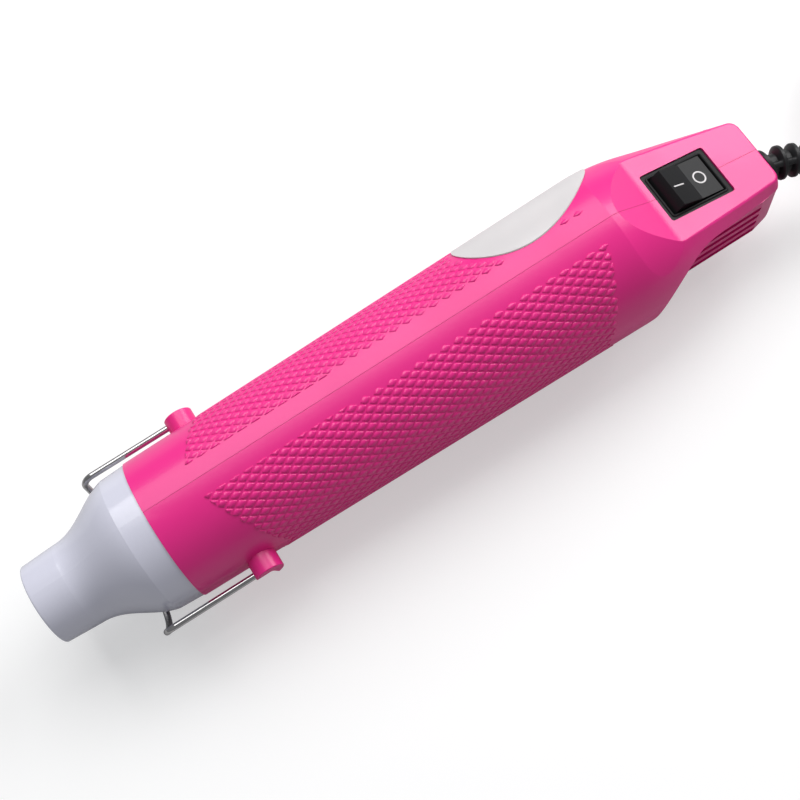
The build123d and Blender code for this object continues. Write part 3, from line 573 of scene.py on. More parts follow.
FINISHES: dict[str, Finish] = {
    "casing": Moulding("pink_moulding", PINK, PINK_DEEP, (0.30, 0.36), 2200.0, coat=0.12, seam=0.11 * MM,
                       seam_colour=PINK_SEAM, shine=0.45),
    "nozzle": Moulding("white_heatproof", (0.69, 0.69, 0.80), (0.665, 0.665, 0.775), (0.14, 0.20), 1500.0,
                       0.00001, coat=0.5),
    "label": Moulding("label_foil", (0.66, 0.63, 0.635), (0.63, 0.605, 0.61), (0.30, 0.38), 3500.0, 0.00001,
                      coat=0.1),
    "switch_black": Moulding("bezel_black", (0.014, 0.014, 0.015), (0.019, 0.019, 0.020), (0.40, 0.50), 2600.0,
                             0.00003, shine=0.13),
    "rocker_black": Moulding("rocker_gloss_black", (0.010, 0.010, 0.011), (0.014, 0.014, 0.015), (0.30, 0.36),
                             1200.0, 0.00001, shine=0.14),
    "rubber_black": Moulding("relief_rubber", (0.008, 0.008, 0.009), (0.014, 0.014, 0.015), (0.34, 0.46), 2000.0,
                             0.00003, shine=0.3),
    "cord_black": Moulding("cord_sheath", (0.012, 0.012, 0.013), (0.019, 0.019, 0.020), (0.36, 0.48), 1700.0,
                           0.00003, shine=0.35),
    "plug_black": Moulding("plug_rubber", (0.022, 0.022, 0.023), (0.032, 0.032, 0.033), (0.45, 0.58), 1800.0,
                           0.00005),
    "duct_plastic": Moulding("duct_moulding", (0.07, 0.07, 0.075), (0.09, 0.09, 0.095), (0.4, 0.5)),
    "cap_plastic": Moulding("cap_nylon", (0.72, 0.70, 0.62), (0.66, 0.64, 0.56), (0.4, 0.5)),
    "fan_plastic": Moulding("fan_nylon", (0.66, 0.67, 0.66), (0.60, 0.61, 0.60), (0.35, 0.45)),
    "diode_body": Moulding("diode_epoxy", (0.02, 0.02, 0.02), (0.035, 0.033, 0.03), (0.35, 0.5)),
    "clamp_plastic": Moulding("clamp_fibre", (0.10, 0.08, 0.06), (0.14, 0.11, 0.08), (0.5, 0.65), 1500.0, 0.00006),
    "wire_steel": Metal("stand_chrome", (0.56, 0.55, 0.55), (0.44, 0.43, 0.43), (0.10, 0.20), (0.08, 0.4, 0.4)),
    "terminal_brass": Metal("terminal_brass", (0.72, 0.56, 0.27), (0.62, 0.46, 0.20), (0.25, 0.40)),
    "pin_brass": Metal("pin_brass", (0.76, 0.62, 0.33), (0.70, 0.55, 0.26), (0.16, 0.28), (1.0, 0.06, 1.0)),
    "tube_steel": Metal("tube_steel", (0.56, 0.56, 0.57), (0.44, 0.42, 0.40), (0.22, 0.38), (1.0, 0.1, 0.1), 900.0),
    "element_wire": Metal("resistance_wire", (0.34, 0.30, 0.27), (0.20, 0.16, 0.14), (0.35, 0.55)),
    "cutoff_metal": Metal("cutoff_can", (0.62, 0.60, 0.55), (0.52, 0.50, 0.45), (0.25, 0.40)),
    "motor_steel": Metal("motor_zinc", (0.58, 0.59, 0.61), (0.46, 0.47, 0.50), (0.25, 0.42), (1.0, 0.15, 0.15),
                         700.0),
    "rotor_iron": Metal("rotor_laminations", (0.36, 0.28, 0.21), (0.24, 0.18, 0.14), (0.35, 0.5),
                        (1.0, 0.02, 0.02), 2500.0, 0.00004),
    "shaft_steel": Metal("ground_steel", (0.66, 0.66, 0.68), (0.56, 0.56, 0.58), (0.15, 0.28), (1.0, 0.05, 0.05)),
    "screw_steel": Metal("zinc_screws", (0.60, 0.60, 0.62), (0.48, 0.48, 0.50), (0.22, 0.38), (0.3, 0.3, 0.3)),
    "magnet": PressedBoard("sintered_magnet", (0.05, 0.05, 0.055), (0.09, 0.09, 0.095), (0.5, 0.7), 2500.0),
    "mica": PressedBoard("pressed_mica", (0.50, 0.42, 0.26), (0.68, 0.61, 0.44), (0.25, 0.50)),
    "board": PressedBoard("phenolic_board", (0.36, 0.22, 0.08), (0.44, 0.29, 0.12), (0.4, 0.6), 2200.0),
}


def finish_of(slot: str) -> Finish:
    """The finish of a material slot of the record."""
    return FINISHES[slot]


def dress_cad_nodes() -> None:
    """Give every CAD node the finish of its slot in the record."""
    for entry in FRAME["record"]["subparts"]:
        node = FRAME["nodes"][entry["node"]]
        material = finish_of(entry["material_slot"]).material()
        for place in node.material_slots:
            place.material = material
        LOG.info("%s: finish %s", entry["node"], material.name)


# Studio


def turned(across: np.ndarray, upright: np.ndarray, back: np.ndarray, place: Place) -> Matrix:
    """Matrix of a camera or a lamp.

    Args:
        across: Its right.
        upright: Its up.
        back: Its back.
        place: Where it is.

    Returns:
        The matrix.
    """
    whole = np.eye(4)
    whole[:3] = np.column_stack([across, upright, back, place])
    return Matrix(whole.tolist())


@dataclass(frozen=True)
class Lamp:
    """A soft square lamp.

    Attributes:
        name: Name of the lamp.
        place: Where it hangs.
        aim: The point that it faces.
        span: Length of its side.
        watts: Its power.
    """

    name: str
    place: Place
    aim: Place
    span: float
    watts: float

    def hang(self) -> None:
        """Hang the lamp square to its aim, with one side level."""
        data = bpy.data.lights.new(self.name, "AREA")
        data.shape = "SQUARE"
        data.size = self.span
        data.energy = self.watts
        away = np.subtract(self.place, self.aim)
        away = away / np.linalg.norm(away)
        side = np.cross((0.0, 1.0, 0.0), away)
        side = side / np.linalg.norm(side)
        set_out(self.name, data).matrix_world = turned(side, np.cross(away, side), away, self.place)


@dataclass
class Studio:
    """Camera, floor, lamps and surroundings.

    Attributes:
        location: Place of the camera.
        across: The camera's right.
        upright: The camera's up.
        back: The camera's back.
        lens: Focal length.
        sensor: Width of the sensor.
        floor_span: Length and width of the floor.
        floor_drop: Depth of the floor below the tool.
        floor_colour: Colour of the floor.
        glow_reach: Distances from the tool between which the floor's glow grows.
        glow: Strength of the glow at both.
        sky: Colour of the surroundings.
        sky_strength: Strength of their light.
        lamps: The lamps.
    """

    location: Place = (0.03041, 0.10727, 0.34736)
    across: Place = (-0.84387, 0.52691, -0.10122)
    upright: Place = (-0.53144, -0.79486, 0.29285)
    back: Place = (0.07385, 0.30092, 0.95079)
    lens: float = 58.5
    sensor: float = 36.0
    floor_span: float = 6.0
    floor_drop: float = 0.4 * MM
    floor_colour: Colour = (0.58, 0.58, 0.58)
    glow_reach: Pair = (0.25, 1.3)
    glow: Pair = (0.46, 0.86)
    sky: Colour = (0.95, 0.97, 1.0)
    sky_strength: float = 0.26
    lamps: tuple[Lamp, ...] = (Lamp("overhead", (-0.09, -0.58, 0.90), (0.0, 0.0, 0.03), 0.9, 8.0),
                               Lamp("rear", (-0.76, -0.28, 0.57), (-0.09, 0.0, 0.03), 0.55, 5.6))

    def set_camera(self) -> None:
        """Camera at the photograph's angle."""
        data = bpy.data.cameras.new("camera")
        data.lens = self.lens
        data.sensor_width = self.sensor
        data.clip_start = 0.01
        camera = set_out("camera", data)
        camera.matrix_world = turned(self.across, self.upright, self.back, self.location)
        bpy.context.scene.camera = camera

    def lay_floor(self) -> None:
        """Plain pale floor that keeps the tool's shadow and looks white to the camera.

        Its glow is seen by the camera alone, and grows with the distance from the tool as the
        lamps' light falls off.
        """
        half = self.floor_span / 2
        mesh = bpy.data.meshes.new("floor")
        mesh.from_pydata([(x * half, y * half, -self.floor_drop) for x, y in ((-1, -1), (1, -1), (1, 1), (-1, 1))],
                         [], [(0, 1, 2, 3)])
        floor = set_out("floor", mesh)
        bench = Bench.open("pale_floor")
        bench.fill(bench.shader, {"Base Color": (*self.floor_colour, 1.0), "Roughness": 0.9,
                                  "Specular IOR Level": 0.2})
        reach = bench.node("ShaderNodeVectorMath", {0: bench.place()}, operation="LENGTH")
        fading = bench.node("ShaderNodeMapRange", {
            "Value": reach.outputs["Value"], "From Min": self.glow_reach[0], "From Max": self.glow_reach[1],
            "To Min": self.glow[0], "To Max": self.glow[1]})
        seen = bench.node("ShaderNodeLightPath").outputs["Is Camera Ray"]
        share = bench.node("ShaderNodeMath", {0: seen, 1: fading.outputs["Result"]}, operation="MULTIPLY")
        glow = bench.node("ShaderNodeEmission", {"Strength": share.outputs["Value"]})
        both = bench.node("ShaderNodeAddShader", {0: bench.shader.outputs["BSDF"], 1: glow.outputs["Emission"]})
        bench.fill(bench.tree.nodes["Material Output"], {"Surface": both.outputs["Shader"]})
        mesh.materials.append(bench.material)

    def light(self) -> None:
        """Even pale surroundings that look white to the camera, and the lamps."""
        world = bpy.data.worlds.new("surroundings")
        bpy.context.scene.world = world
        world.use_nodes = True
        wiring = Wiring(world.node_tree)
        soft = wiring.tree.nodes["Background"]
        wiring.fill(soft, {"Color": (*self.sky, 1.0), "Strength": self.sky_strength})
        white = wiring.node("ShaderNodeBackground", {"Color": (1.0, 1.0, 1.0, 1.0)})
        seen = wiring.node("ShaderNodeLightPath").outputs["Is Camera Ray"]
        mix = wiring.node("ShaderNodeMixShader", {0: seen, 1: soft.outputs["Background"],
                                                  2: white.outputs["Background"]})
        wiring.fill(wiring.tree.nodes["World Output"], {"Surface": mix.outputs["Shader"]})
        for lamp in self.lamps:
            lamp.hang()
        bpy.context.scene.view_settings.view_transform = "Standard"

    def build(self) -> None:
        """Set up the whole studio."""
        self.set_camera()
        self.lay_floor()
        self.light()
        LOG.info("studio: camera, floor and lamps")


# Mains lead


@dataclass
class StrainRelief:
    """Bent rubber sleeve with fins that taper outwards, and two narrow webs that join them.

    Attributes:
        length: Length of the sleeve along its axis.
        tilt: Angle of its axis at the casing.
        bend: Radius of its axis.
        sway: Share of the bend that goes to the left; the rest goes down.
        offset: Place of the sleeve to the left of the seam.
        height: Place of the sleeve over the tool's axis.
        first_rib: Distance of the first fin.
        pitch: Distance between fins.
        rib_count: Number of fins.
        rib_half: Half width of a fin at its tip and at its foot.
        rib_radii: Radius of the first and the last fin.
        core_radii: Radius of the core at both ends.
        web_half: Half angle of a web.
        web_rise: Height of a web, as a share of a fin's.
        collar_radius: Radius of the collar at the casing.
        collar_length: Thickness of the collar.
        collar_edge: Rounding of the collar.
        collar_bore: Radius that the collar's outer face goes in to, under the sleeve.
        closing_length: Length over which the sleeve's end closes on the lead.
        foot: Depth and radius of the part of the collar that is in the casing's wall.
        rings: Number of rings along the sleeve.
        points_a_ring: Number of points in a ring.
    """

    length: float = 30.0 * MM
    tilt: float = 10.0 * DEGREE
    bend: float = 33.0 * MM
    sway: float = 0.85
    offset: float = 4.0 * MM
    height: float = 1.0 * MM
    first_rib: float = 4.0 * MM
    pitch: float = 3.9 * MM
    rib_count: int = 7
    rib_half: Pair = (0.45 * MM, 1.25 * MM)
    rib_radii: Pair = (4.7 * MM, 4.0 * MM)
    core_radii: Pair = (2.9 * MM, 2.8 * MM)
    web_half: float = 13.0 * DEGREE
    web_rise: float = 0.8
    collar_radius: float = 5.0 * MM
    collar_length: float = 1.2 * MM
    collar_edge: float = 0.35 * MM
    collar_bore: float = 2.0 * MM
    closing_length: float = 0.5 * MM
    foot: Pair = (2.0 * MM, 3.2 * MM)
    rings: int = 200
    points_a_ring: int = 72

    def axis(self, distance: np.ndarray) -> tuple[np.ndarray, np.ndarray, np.ndarray]:
        """Points of the bent axis, an arc, with two directions across it.

        Args:
            distance: Distances along the axis.

        Returns:
            The points, the directions towards the arc's centre, and the directions off its plane.
        """
        drop = np.sqrt(1 - self.sway**2)
        angle = self.tilt + distance / self.bend
        back = self.bend * (np.sin(angle) - np.sin(self.tilt))
        aside = self.bend * (np.cos(self.tilt) - np.cos(angle))
        points = np.stack([fore(TOOL_LENGTH) - self.collar_length / 2 - back,
                           self.offset + aside * self.sway,
                           AXIS_HEIGHT + self.height - aside * drop], axis=-1)
        inwards = np.stack([np.sin(angle), np.cos(angle) * self.sway, -np.cos(angle) * drop], axis=-1)
        off_plane = np.broadcast_to(np.array([0.0, drop, self.sway]), points.shape)
        return points, inwards, off_plane

    def radius(self, distance: np.ndarray, turn: np.ndarray) -> np.ndarray:
        """Radius of the sleeve: its core, fins with sloping flanks over it, and a web on each side off the bend.

        Args:
            distance: Distances along the axis.
            turn: Angles round it.

        Returns:
            The radius at each of them.
        """
        share = distance / self.length
        core = self.core_radii[0] + (self.core_radii[1] - self.core_radii[0]) * share
        steps = (distance - self.first_rib) / self.pitch
        nearest = np.clip(np.round(steps), 0, self.rib_count - 1)
        rib = self.rib_radii[0] + (self.rib_radii[1] - self.rib_radii[0]) * nearest / (self.rib_count - 1)
        off = np.abs(distance - self.first_rib - nearest * self.pitch)
        ribbed = np.clip((self.rib_half[1] - off) / (self.rib_half[1] - self.rib_half[0]), 0, 1) ** 0.8
        apart = np.abs(np.angle(np.exp(2j * (turn - np.pi / 2)))) / 2
        web = (steps < self.rib_count - 1) / (1 + (apart / self.web_half) ** 8)
        return core + (rib - core) * np.maximum(ribbed, web * self.web_rise)

    def build(self) -> Piece:
        """The sleeve, a ring carried along the bent axis, with its rounded collar at the casing.

        Returns:
            The piece, which stands for the CAD relief.
        """
        ring = full_turn(self.points_a_ring)
        distance, turn = np.meshgrid(np.linspace(0, self.length, self.rings), ring, indexing="ij")
        radius = self.radius(distance, turn)
        closing = np.clip((distance - self.length) / self.closing_length + 1, 0, 1)
        radius = (radius + (CORD_DIAMETER / 2 - radius) * closing**4)[..., None]
        points, inwards, off_plane = self.axis(distance)
        sleeve = points + radius * (np.cos(turn)[..., None] * inwards + np.sin(turn)[..., None] * off_plane)
        face, rim, edge = self.collar_length, self.collar_radius, self.collar_edge
        profile = np.array([(-self.foot[0], self.foot[1]), (-SINK, self.foot[1]), (-SINK, rim), (face - edge, rim),
                            (face - edge * 0.3, rim - edge * 0.3), (face, rim - edge), (face, self.collar_bore)])
        collar = np.stack(np.broadcast_arrays(
            fore(TOOL_LENGTH) - profile[:, :1], self.offset + profile[:, 1:] * np.cos(ring),
            AXIS_HEIGHT + self.height + profile[:, 1:] * np.sin(ring)), axis=-1)
        points = np.concatenate([sleeve.reshape(-1, 3), collar.reshape(-1, 3)])
        faces = closed_faces(*sleeve.shape[:2], 0) + closed_faces(*collar.shape[:2], sleeve.size // 3)
        piece = make_piece("ribbed_relief", points, faces, "rubber_black", Body.TOOL)
        piece.data.set_sharp_from_angle(angle=40 * DEGREE)
        face_outwards(piece)
        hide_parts("strain_relief")
        return piece


def face_outwards(piece: Piece) -> None:
    """Turn a closed mesh's faces outwards.

    Args:
        piece: The mesh object.
    """
    work = bmesh.new()
    work.from_mesh(piece.data)
    bmesh.ops.recalc_face_normals(work, faces=work.faces)
    work.to_mesh(piece.data)
    work.free()


@dataclass
class MainsLead:
    """Round lead: out of the relief, down to the floor, wound in three columns of turns, and to its plug.

    Attributes:
        approach: Points from the relief to the coil, the first where the lead leaves the relief.
        centre: Middle of the coil.
        side: Direction from the middle to the place where the lead joins the coil.
        travel: Direction of the lead there.
        radii: Radius of the lead's line at each end of a half turn, in millimetres.
        heights: Height of the line at each of these ends, in millimetres.
        points_a_half_turn: Control points in a half turn.
        run_out: Length of the straight from the coil to the plug.
        length: Length of the whole lead.
        order: Order of the spline, a quadratic one.
        smoothness: Number of segments between control points.
        roundness: Number of points added in each quarter of the section.
    """

    approach: tuple[Place, ...] = (
        (-0.13503, 0.01849, 0.01422), (-0.14158, 0.02901, 0.0077), (-0.15698, 0.03601, 0.0028))
    centre: Pair = (-0.18018, 0.00331)
    side: Pair = (0.0, 1.0)
    travel: Pair = (-1.0, 0.0)
    radii: tuple[float, ...] = (32.7,) * 6 + (26.6,) * 6 + (20.5,) * 5
    heights: tuple[float, ...] = (2.8, 6.1, 9.4, 12.7, 16.0, 19.3, 19.3, 16.0, 12.7, 9.4, 6.1, 2.8,
                                  2.8, 6.1, 13.7, 21.3, 28.9)
    points_a_half_turn: int = 14
    run_out: float = 5.2 * MM
    length: float = 1.42
    order: int = 3
    smoothness: int = 4
    roundness: int = 5

    def coil_route(self) -> np.ndarray:
        """Control points of the coil: half turns that each move to the next radius and height.

        Both go as half a cosine within a half turn. The points stand out by the share that a
        quadratic spline cuts from them, so that the lead's own line has the radius.

        Returns:
            An array of points.
        """
        half_turns = len(self.radii) - 1
        angle = np.pi * np.arange(half_turns * self.points_a_half_turn + 1) / self.points_a_half_turn
        whole = np.minimum(angle // np.pi, half_turns - 1).astype(int)
        eased = (1 - np.cos(angle - whole * np.pi)) / 2
        radii, heights = np.array(self.radii) * MM, np.array(self.heights) * MM
        radius = radii[whole] + (radii[whole + 1] - radii[whole]) * eased
        height = heights[whole] + (heights[whole + 1] - heights[whole]) * eased
        radius = radius / np.cos(np.pi / (2 * self.points_a_half_turn))
        flat = np.array(self.centre) + radius[:, None] * (
            np.cos(angle)[:, None] * np.array(self.side) + np.sin(angle)[:, None] * np.array(self.travel))
        return np.column_stack([flat, height])

    def route(self) -> np.ndarray:
        """All control points of the lead, from the relief to the plug.

        Returns:
            An array of points.
        """
        away = np.array([*self.travel, 0.0]) * self.run_out
        middle, side = np.array([*self.centre, 0.0]), np.array([*self.side, 0.0])
        ends = [middle + side * radius * MM + (0.0, 0.0, height * MM)
                for radius, height in zip(self.radii, self.heights)]
        return np.concatenate([self.approach, [ends[0] - away], self.coil_route(), [ends[-1] + away]])

    def build(self, carried: list[Piece]) -> Piece:
        """The lead as one smooth spline with a round section.

        Args:
            carried: New pieces meant to be on the lead; not used.

        Returns:
            The piece, which stands for the CAD lead and coil.
        """
        points = self.route()
        curve = bpy.data.curves.new("mains_lead", "CURVE")
        curve.dimensions = "3D"
        spline = curve.splines.new("NURBS")
        spline.points.add(len(points) - 1)
        spline.points.foreach_set("co", np.column_stack([points, np.ones(len(points))]).ravel())
        spline.order_u = self.order
        spline.use_endpoint_u = True
        spline.resolution_u = curve.resolution_u = curve.render_resolution_u = self.smoothness
        curve.bevel_depth = CORD_DIAMETER / 2
        curve.bevel_resolution = self.roundness
        curve.use_fill_caps = True
        lead = set_out("mains_lead", curve)
        curve.materials.append(finish_of("cord_black").material())
        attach(lead, Body.TOOL.value)
        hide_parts("cord_lead", "cord_coil")
        LOG.info("mains_lead: %d control points", len(points))
        return lead


@dataclass
class PlugGrips:
    """Bowed ridges on the plug's upper face, where fingers pull it.

    Attributes:
        heel: Where the lead goes into the plug.
        first: Distance of the first ridge's ends from the heel.
        pitch: Distance between ridges.
        count: Number of ridges.
        reach: Half length of a ridge.
        bow: How far a ridge's middle lies nearer to the heel than its ends.
        face_height: Height of the plug's upper face.
        width: Width of a ridge.
        rise: Height of a ridge.
        points: Number of points along a ridge and over it.
    """

    heel: Pair = (-185.384 * MM, 23.808 * MM)
    first: float = 15.5 * MM
    pitch: float = 2.6 * MM
    count: int = 6
    reach: float = 11.0 * MM
    bow: float = 3.2 * MM
    face_height: float = 35.68 * MM
    width: float = 1.4 * MM
    rise: float = 0.55 * MM
    points: tuple[int, int] = (41, 13)

    def build(self) -> Piece:
        """All ridges as one piece: a half-round section carried along a bow, and closed at its ends.

        Returns:
            The piece.
        """
        along, around = np.meshgrid(np.linspace(-1, 1, self.points[0]), np.linspace(0, np.pi, self.points[1]),
                                    indexing="ij")
        size = np.sqrt(1 - along**10)
        places = (self.first + self.pitch * np.arange(self.count))[:, None, None]
        back = places - self.bow * (1 - along**2) + self.width / 2 * np.cos(around) * size
        points = np.stack([self.heel[0] - back,
                           self.heel[1] + self.reach * along + 0 * back,
                           self.face_height + self.rise * np.sin(around) * size + 0 * back], axis=-1)
        faces = grid_faces(*along.shape)
        faces = np.concatenate([faces + index * along.size for index in range(self.count)])
        return make_piece("plug_grips", points, faces.tolist(), "plug_black", Body.TOOL)


# Casing


@dataclass
class KnurledGrip:
    """Raised flat-topped diamonds in a band on each flank of the barrel.

    Attributes:
        origin: Station and angle from the top seam of the first diamond.
        rise_step: Station and angle from a diamond to the next one up the lattice.
        fall_step: Station and angle to the next one down it.
        up_steps: First and last step up the lattice, beyond the band on both sides.
        down_steps: First and last step down it.
        edge_angles: Least and greatest angle of the band.
        edge_slack: Degrees that a diamond's middle may be past them.
        front_station: Station of the front edge at the top.
        front_lean: Stations that the front edge moves back for a degree.
        rear_station: Station of the rear edge at the top.
        rear_lean: Stations that the rear edge moves forward for a degree.
        edge_inset: Least distance of a diamond's middle from the front and rear edges.
        half_axes: Half length and half width of one cell of the lattice.
        top_share: Size of a diamond's flat top, of its cell.
        foot_share: Size of its foot, of its cell.
        shoulder: Size of its rounded shoulder, of its cell, and the shoulder's height, of the diamond's.
        rise: Height of a diamond.
        sink: Depth of a diamond's foot under the barrel's surface.
        corner: Share that is cut off an outline's corners.
        clear: Room left round the label.
        label_station: Station of the label's middle.
        label_angle: Angle of its middle from the top.
        label_tilt: Turn of its long axis on the flank.
        label_half: Half length and half width of it.
    """

    origin: Pair = (51.8 * MM, 14.0)
    rise_step: Pair = (1.97 * MM, 3.50)
    fall_step: Pair = (-1.97 * MM, 3.60)
    up_steps: tuple[int, int] = (-30, 90)
    down_steps: tuple[int, int] = (-60, 60)
    edge_angles: Pair = (13.3, 166.7)
    edge_slack: float = 0.4
    front_station: float = 51.0 * MM
    front_lean: float = 0.157 * MM
    rear_station: float = 169.6 * MM
    rear_lean: float = 0.128 * MM
    edge_inset: float = -0.6 * MM
    half_axes: Pair = (1.97 * MM, 1.28 * MM)
    top_share: float = 0.70
    foot_share: float = 0.88
    shoulder: Pair = (0.74, 0.62)
    rise: float = 0.16 * MM
    sink: float = 0.10 * MM
    corner: float = 0.10
    clear: float = 1.3 * MM
    label_station: float = 158.3 * MM
    label_angle: float = 58.0 * DEGREE
    label_tilt: float = 12.0 * DEGREE
    label_half: Pair = (21.5 * MM, 14.75 * MM)

    def centres(self, flank: Flank) -> np.ndarray:
        """Stations and angles of the diamonds of one band: a slanting lattice cut to the band's outline.

        Args:
            flank: Side of the casing.

        Returns:
            An array of station and angle pairs, the angles in degrees.
        """
        up, down = np.meshgrid(np.arange(*self.up_steps), np.arange(*self.down_steps), indexing="ij")
        station = self.origin[0] + up * self.rise_step[0] + down * self.fall_step[0]
        angle = self.origin[1] + up * self.rise_step[1] + down * self.fall_step[1]
        front, rear = self.edges(angle)
        inside = (angle > self.edge_angles[0] - self.edge_slack) & (angle < self.edge_angles[1] + self.edge_slack)
        inside &= (station > front + self.edge_inset) & (station < rear - self.edge_inset)
        if flank is Flank.RIGHT:
            inside &= ~self.under_label(station, angle)
        return np.stack([station[inside], angle[inside]], axis=-1)

    def edges(self, angle: np.ndarray) -> tuple[np.ndarray, np.ndarray]:
        """Stations of the band's front and rear edges at some angles.

        Args:
            angle: Angles from the top, in degrees.

        Returns:
            The stations of the front edge and of the rear edge.
        """
        from_edge = np.minimum(angle, 180.0 - angle) - self.origin[1]
        return self.front_station + self.front_lean * from_edge, self.rear_station - self.rear_lean * from_edge

    def under_label(self, station: np.ndarray, angle: np.ndarray) -> np.ndarray:
        """Whether places on the right flank lie under the oval label or too near it.

        Args:
            station: Stations of the places.
            angle: Their angles from the top, in degrees.

        Returns:
            True for each covered place.
        """
        radius = barrel_radius(station)
        turn = np.radians(angle)
        along = self.label_station - station
        across = radius * np.sin(self.label_angle - turn)
        first = along * np.cos(self.label_tilt) + across * np.sin(self.label_tilt)
        second = -along * np.sin(self.label_tilt) + across * np.cos(self.label_tilt)
        facing = np.cos(turn - self.label_angle) > 0
        reach = (first / (self.label_half[0] + self.clear)) ** 2 + (second / (self.label_half[1] + self.clear)) ** 2
        return facing & (reach < 1)

    def build(self, flank: Flank) -> Piece:
        """One band: an eight-sided outline at three levels, set at every centre and wrapped on the barrel.

        Args:
            flank: Side of the casing.

        Returns:
            The piece.
        """
        cut = self.corner
        outline = np.array([(1 - cut, cut), (cut, 1 - cut), (-cut, 1 - cut), (-1 + cut, cut),
                            (-1 + cut, -cut), (-cut, -1 + cut), (cut, -1 + cut), (1 - cut, -cut)])
        outline = outline * np.array(self.half_axes)
        corners = len(outline)
        levels = [(self.foot_share, -self.sink), (self.shoulder[0], self.rise * self.shoulder[1]),
                  (self.top_share, self.rise)]
        shape = np.concatenate([np.column_stack([outline * share, np.full(corners, lift)])
                                for share, lift in levels])
        centres = self.centres(flank)
        station = centres[:, 0, None] + shape[None, :, 0]
        flat_radius = barrel_radius(centres[:, 0, None])
        turn = np.radians(centres[:, 1, None]) + shape[None, :, 1] / flat_radius
        turn = np.clip(turn, *np.radians(self.edge_angles))
        station = np.clip(station, *self.edges(np.degrees(turn)))
        radius = barrel_radius(station) + shape[None, :, 2]
        points = np.stack([fore(station), flank.value * radius * np.sin(turn), AXIS_HEIGHT + radius * np.cos(turn)],
                          axis=-1)
        ring = grid_faces(len(levels), corners, round_columns=True)
        starts = np.arange(len(centres)) * len(shape)
        sides = (ring[None] + starts[:, None, None]).reshape(-1, 4)
        tops = np.arange(len(shape) - corners, len(shape))[None] + starts[:, None]
        order = slice(None, None, -1) if flank is Flank.LEFT else slice(None)
        faces = [*sides[:, order].tolist(), *tops[:, order].tolist()]
        return make_piece(f"knurl_{flank.name.lower()}", points, faces, "casing", Body.TOOL)


# Switch


@dataclass
class SwitchMarks:
    """Raised white off and on marks on the rocker's two sloping faces.

    Attributes:
        pivot_depth: Depth of the rocker's pin below the facet.
        rest_turn: Turn of the rocker at rest.
        face_height: Height of the faces' ridge over the pin.
        face_slope: Slope of each face from the ridge.
        bar_place: Distance of the bar from the ridge, towards the nozzle.
        ring_place: Distance of the ring's middle from the ridge, negative towards the rear.
        bar_half: Half length of the bar.
        bar_width: Width of the bar.
        ring_radius: Radius of the ring's middle line.
        ring_width: Width of the ring.
        lift: Height of the marks.
        ring_points: Number of points across the ring's section and round it.
        bar_points: Number of outlines of the bar and of points in an outline.
    """

    pivot_depth: float = 3.5 * MM
    rest_turn: float = 10.0 * DEGREE
    face_height: float = 4.0 * MM
    face_slope: float = 6.0 * DEGREE
    bar_place: float = 4.3 * MM
    ring_place: float = -3.3 * MM
    bar_half: float = 1.95 * MM
    bar_width: float = 0.48 * MM
    ring_radius: float = 1.7 * MM
    ring_width: float = 0.54 * MM
    lift: float = 0.05 * MM
    ring_points: tuple[int, int] = (9, 64)
    bar_points: tuple[int, int] = (8, 48)

    def on_face(self, along: np.ndarray, aside: np.ndarray, lift: np.ndarray) -> np.ndarray:
        """Points at a height over the rocker's faces, carried to the rocker's place at rest.

        Args:
            along: Distance from the ridge towards the nozzle.
            aside: Distance to the left.
            lift: Height over the face.

        Returns:
            The points.
        """
        up = self.face_height + np.abs(along) * np.tan(self.face_slope) + lift
        tip = self.rest_turn
        return on_facet(along * np.cos(tip) - up * np.sin(tip), aside,
                        along * np.sin(tip) + up * np.cos(tip) - self.pivot_depth)

    def build_ring(self) -> Piece:
        """The ring: a low rounded ridge carried round a circle.

        Returns:
            The piece.
        """
        across = np.linspace(-1, 1, self.ring_points[0])
        turn = full_turn(self.ring_points[1])
        radius = self.ring_radius + across[:, None] * self.ring_width / 2
        lift = self.lift * (1 - 2 * np.abs(across[:, None]) ** 6) + 0 * turn
        points = self.on_face(self.ring_place + radius * np.cos(turn), radius * np.sin(turn), lift)
        faces = grid_faces(*points.shape[:2], round_columns=True)[:, ::-1]
        return make_piece("off_ring", points, faces.tolist(), "label", Body.ROCKER)

    def build_bar(self) -> Piece:
        """The bar: rounded outlines that shrink towards its middle line as they rise.

        Returns:
            The piece.
        """
        share = np.linspace(1, 0.02, self.bar_points[0])[:, None]
        turn = full_turn(self.bar_points[1])
        straight = (self.bar_half - self.bar_width / 2) * np.sign(np.cos(turn))
        along = self.bar_place + straight + share * self.bar_width / 2 * np.cos(turn)
        aside = share * self.bar_width / 2 * np.sin(turn)
        lift = self.lift * (1 - 2 * share**6) + 0 * turn
        points = self.on_face(along, aside, lift)
        rows, columns = points.shape[:2]
        faces = grid_faces(rows, columns, round_columns=True).tolist()
        faces.append(list(range((rows - 1) * columns, rows * columns)))
        return make_piece("on_bar", points, faces, "label", Body.ROCKER)


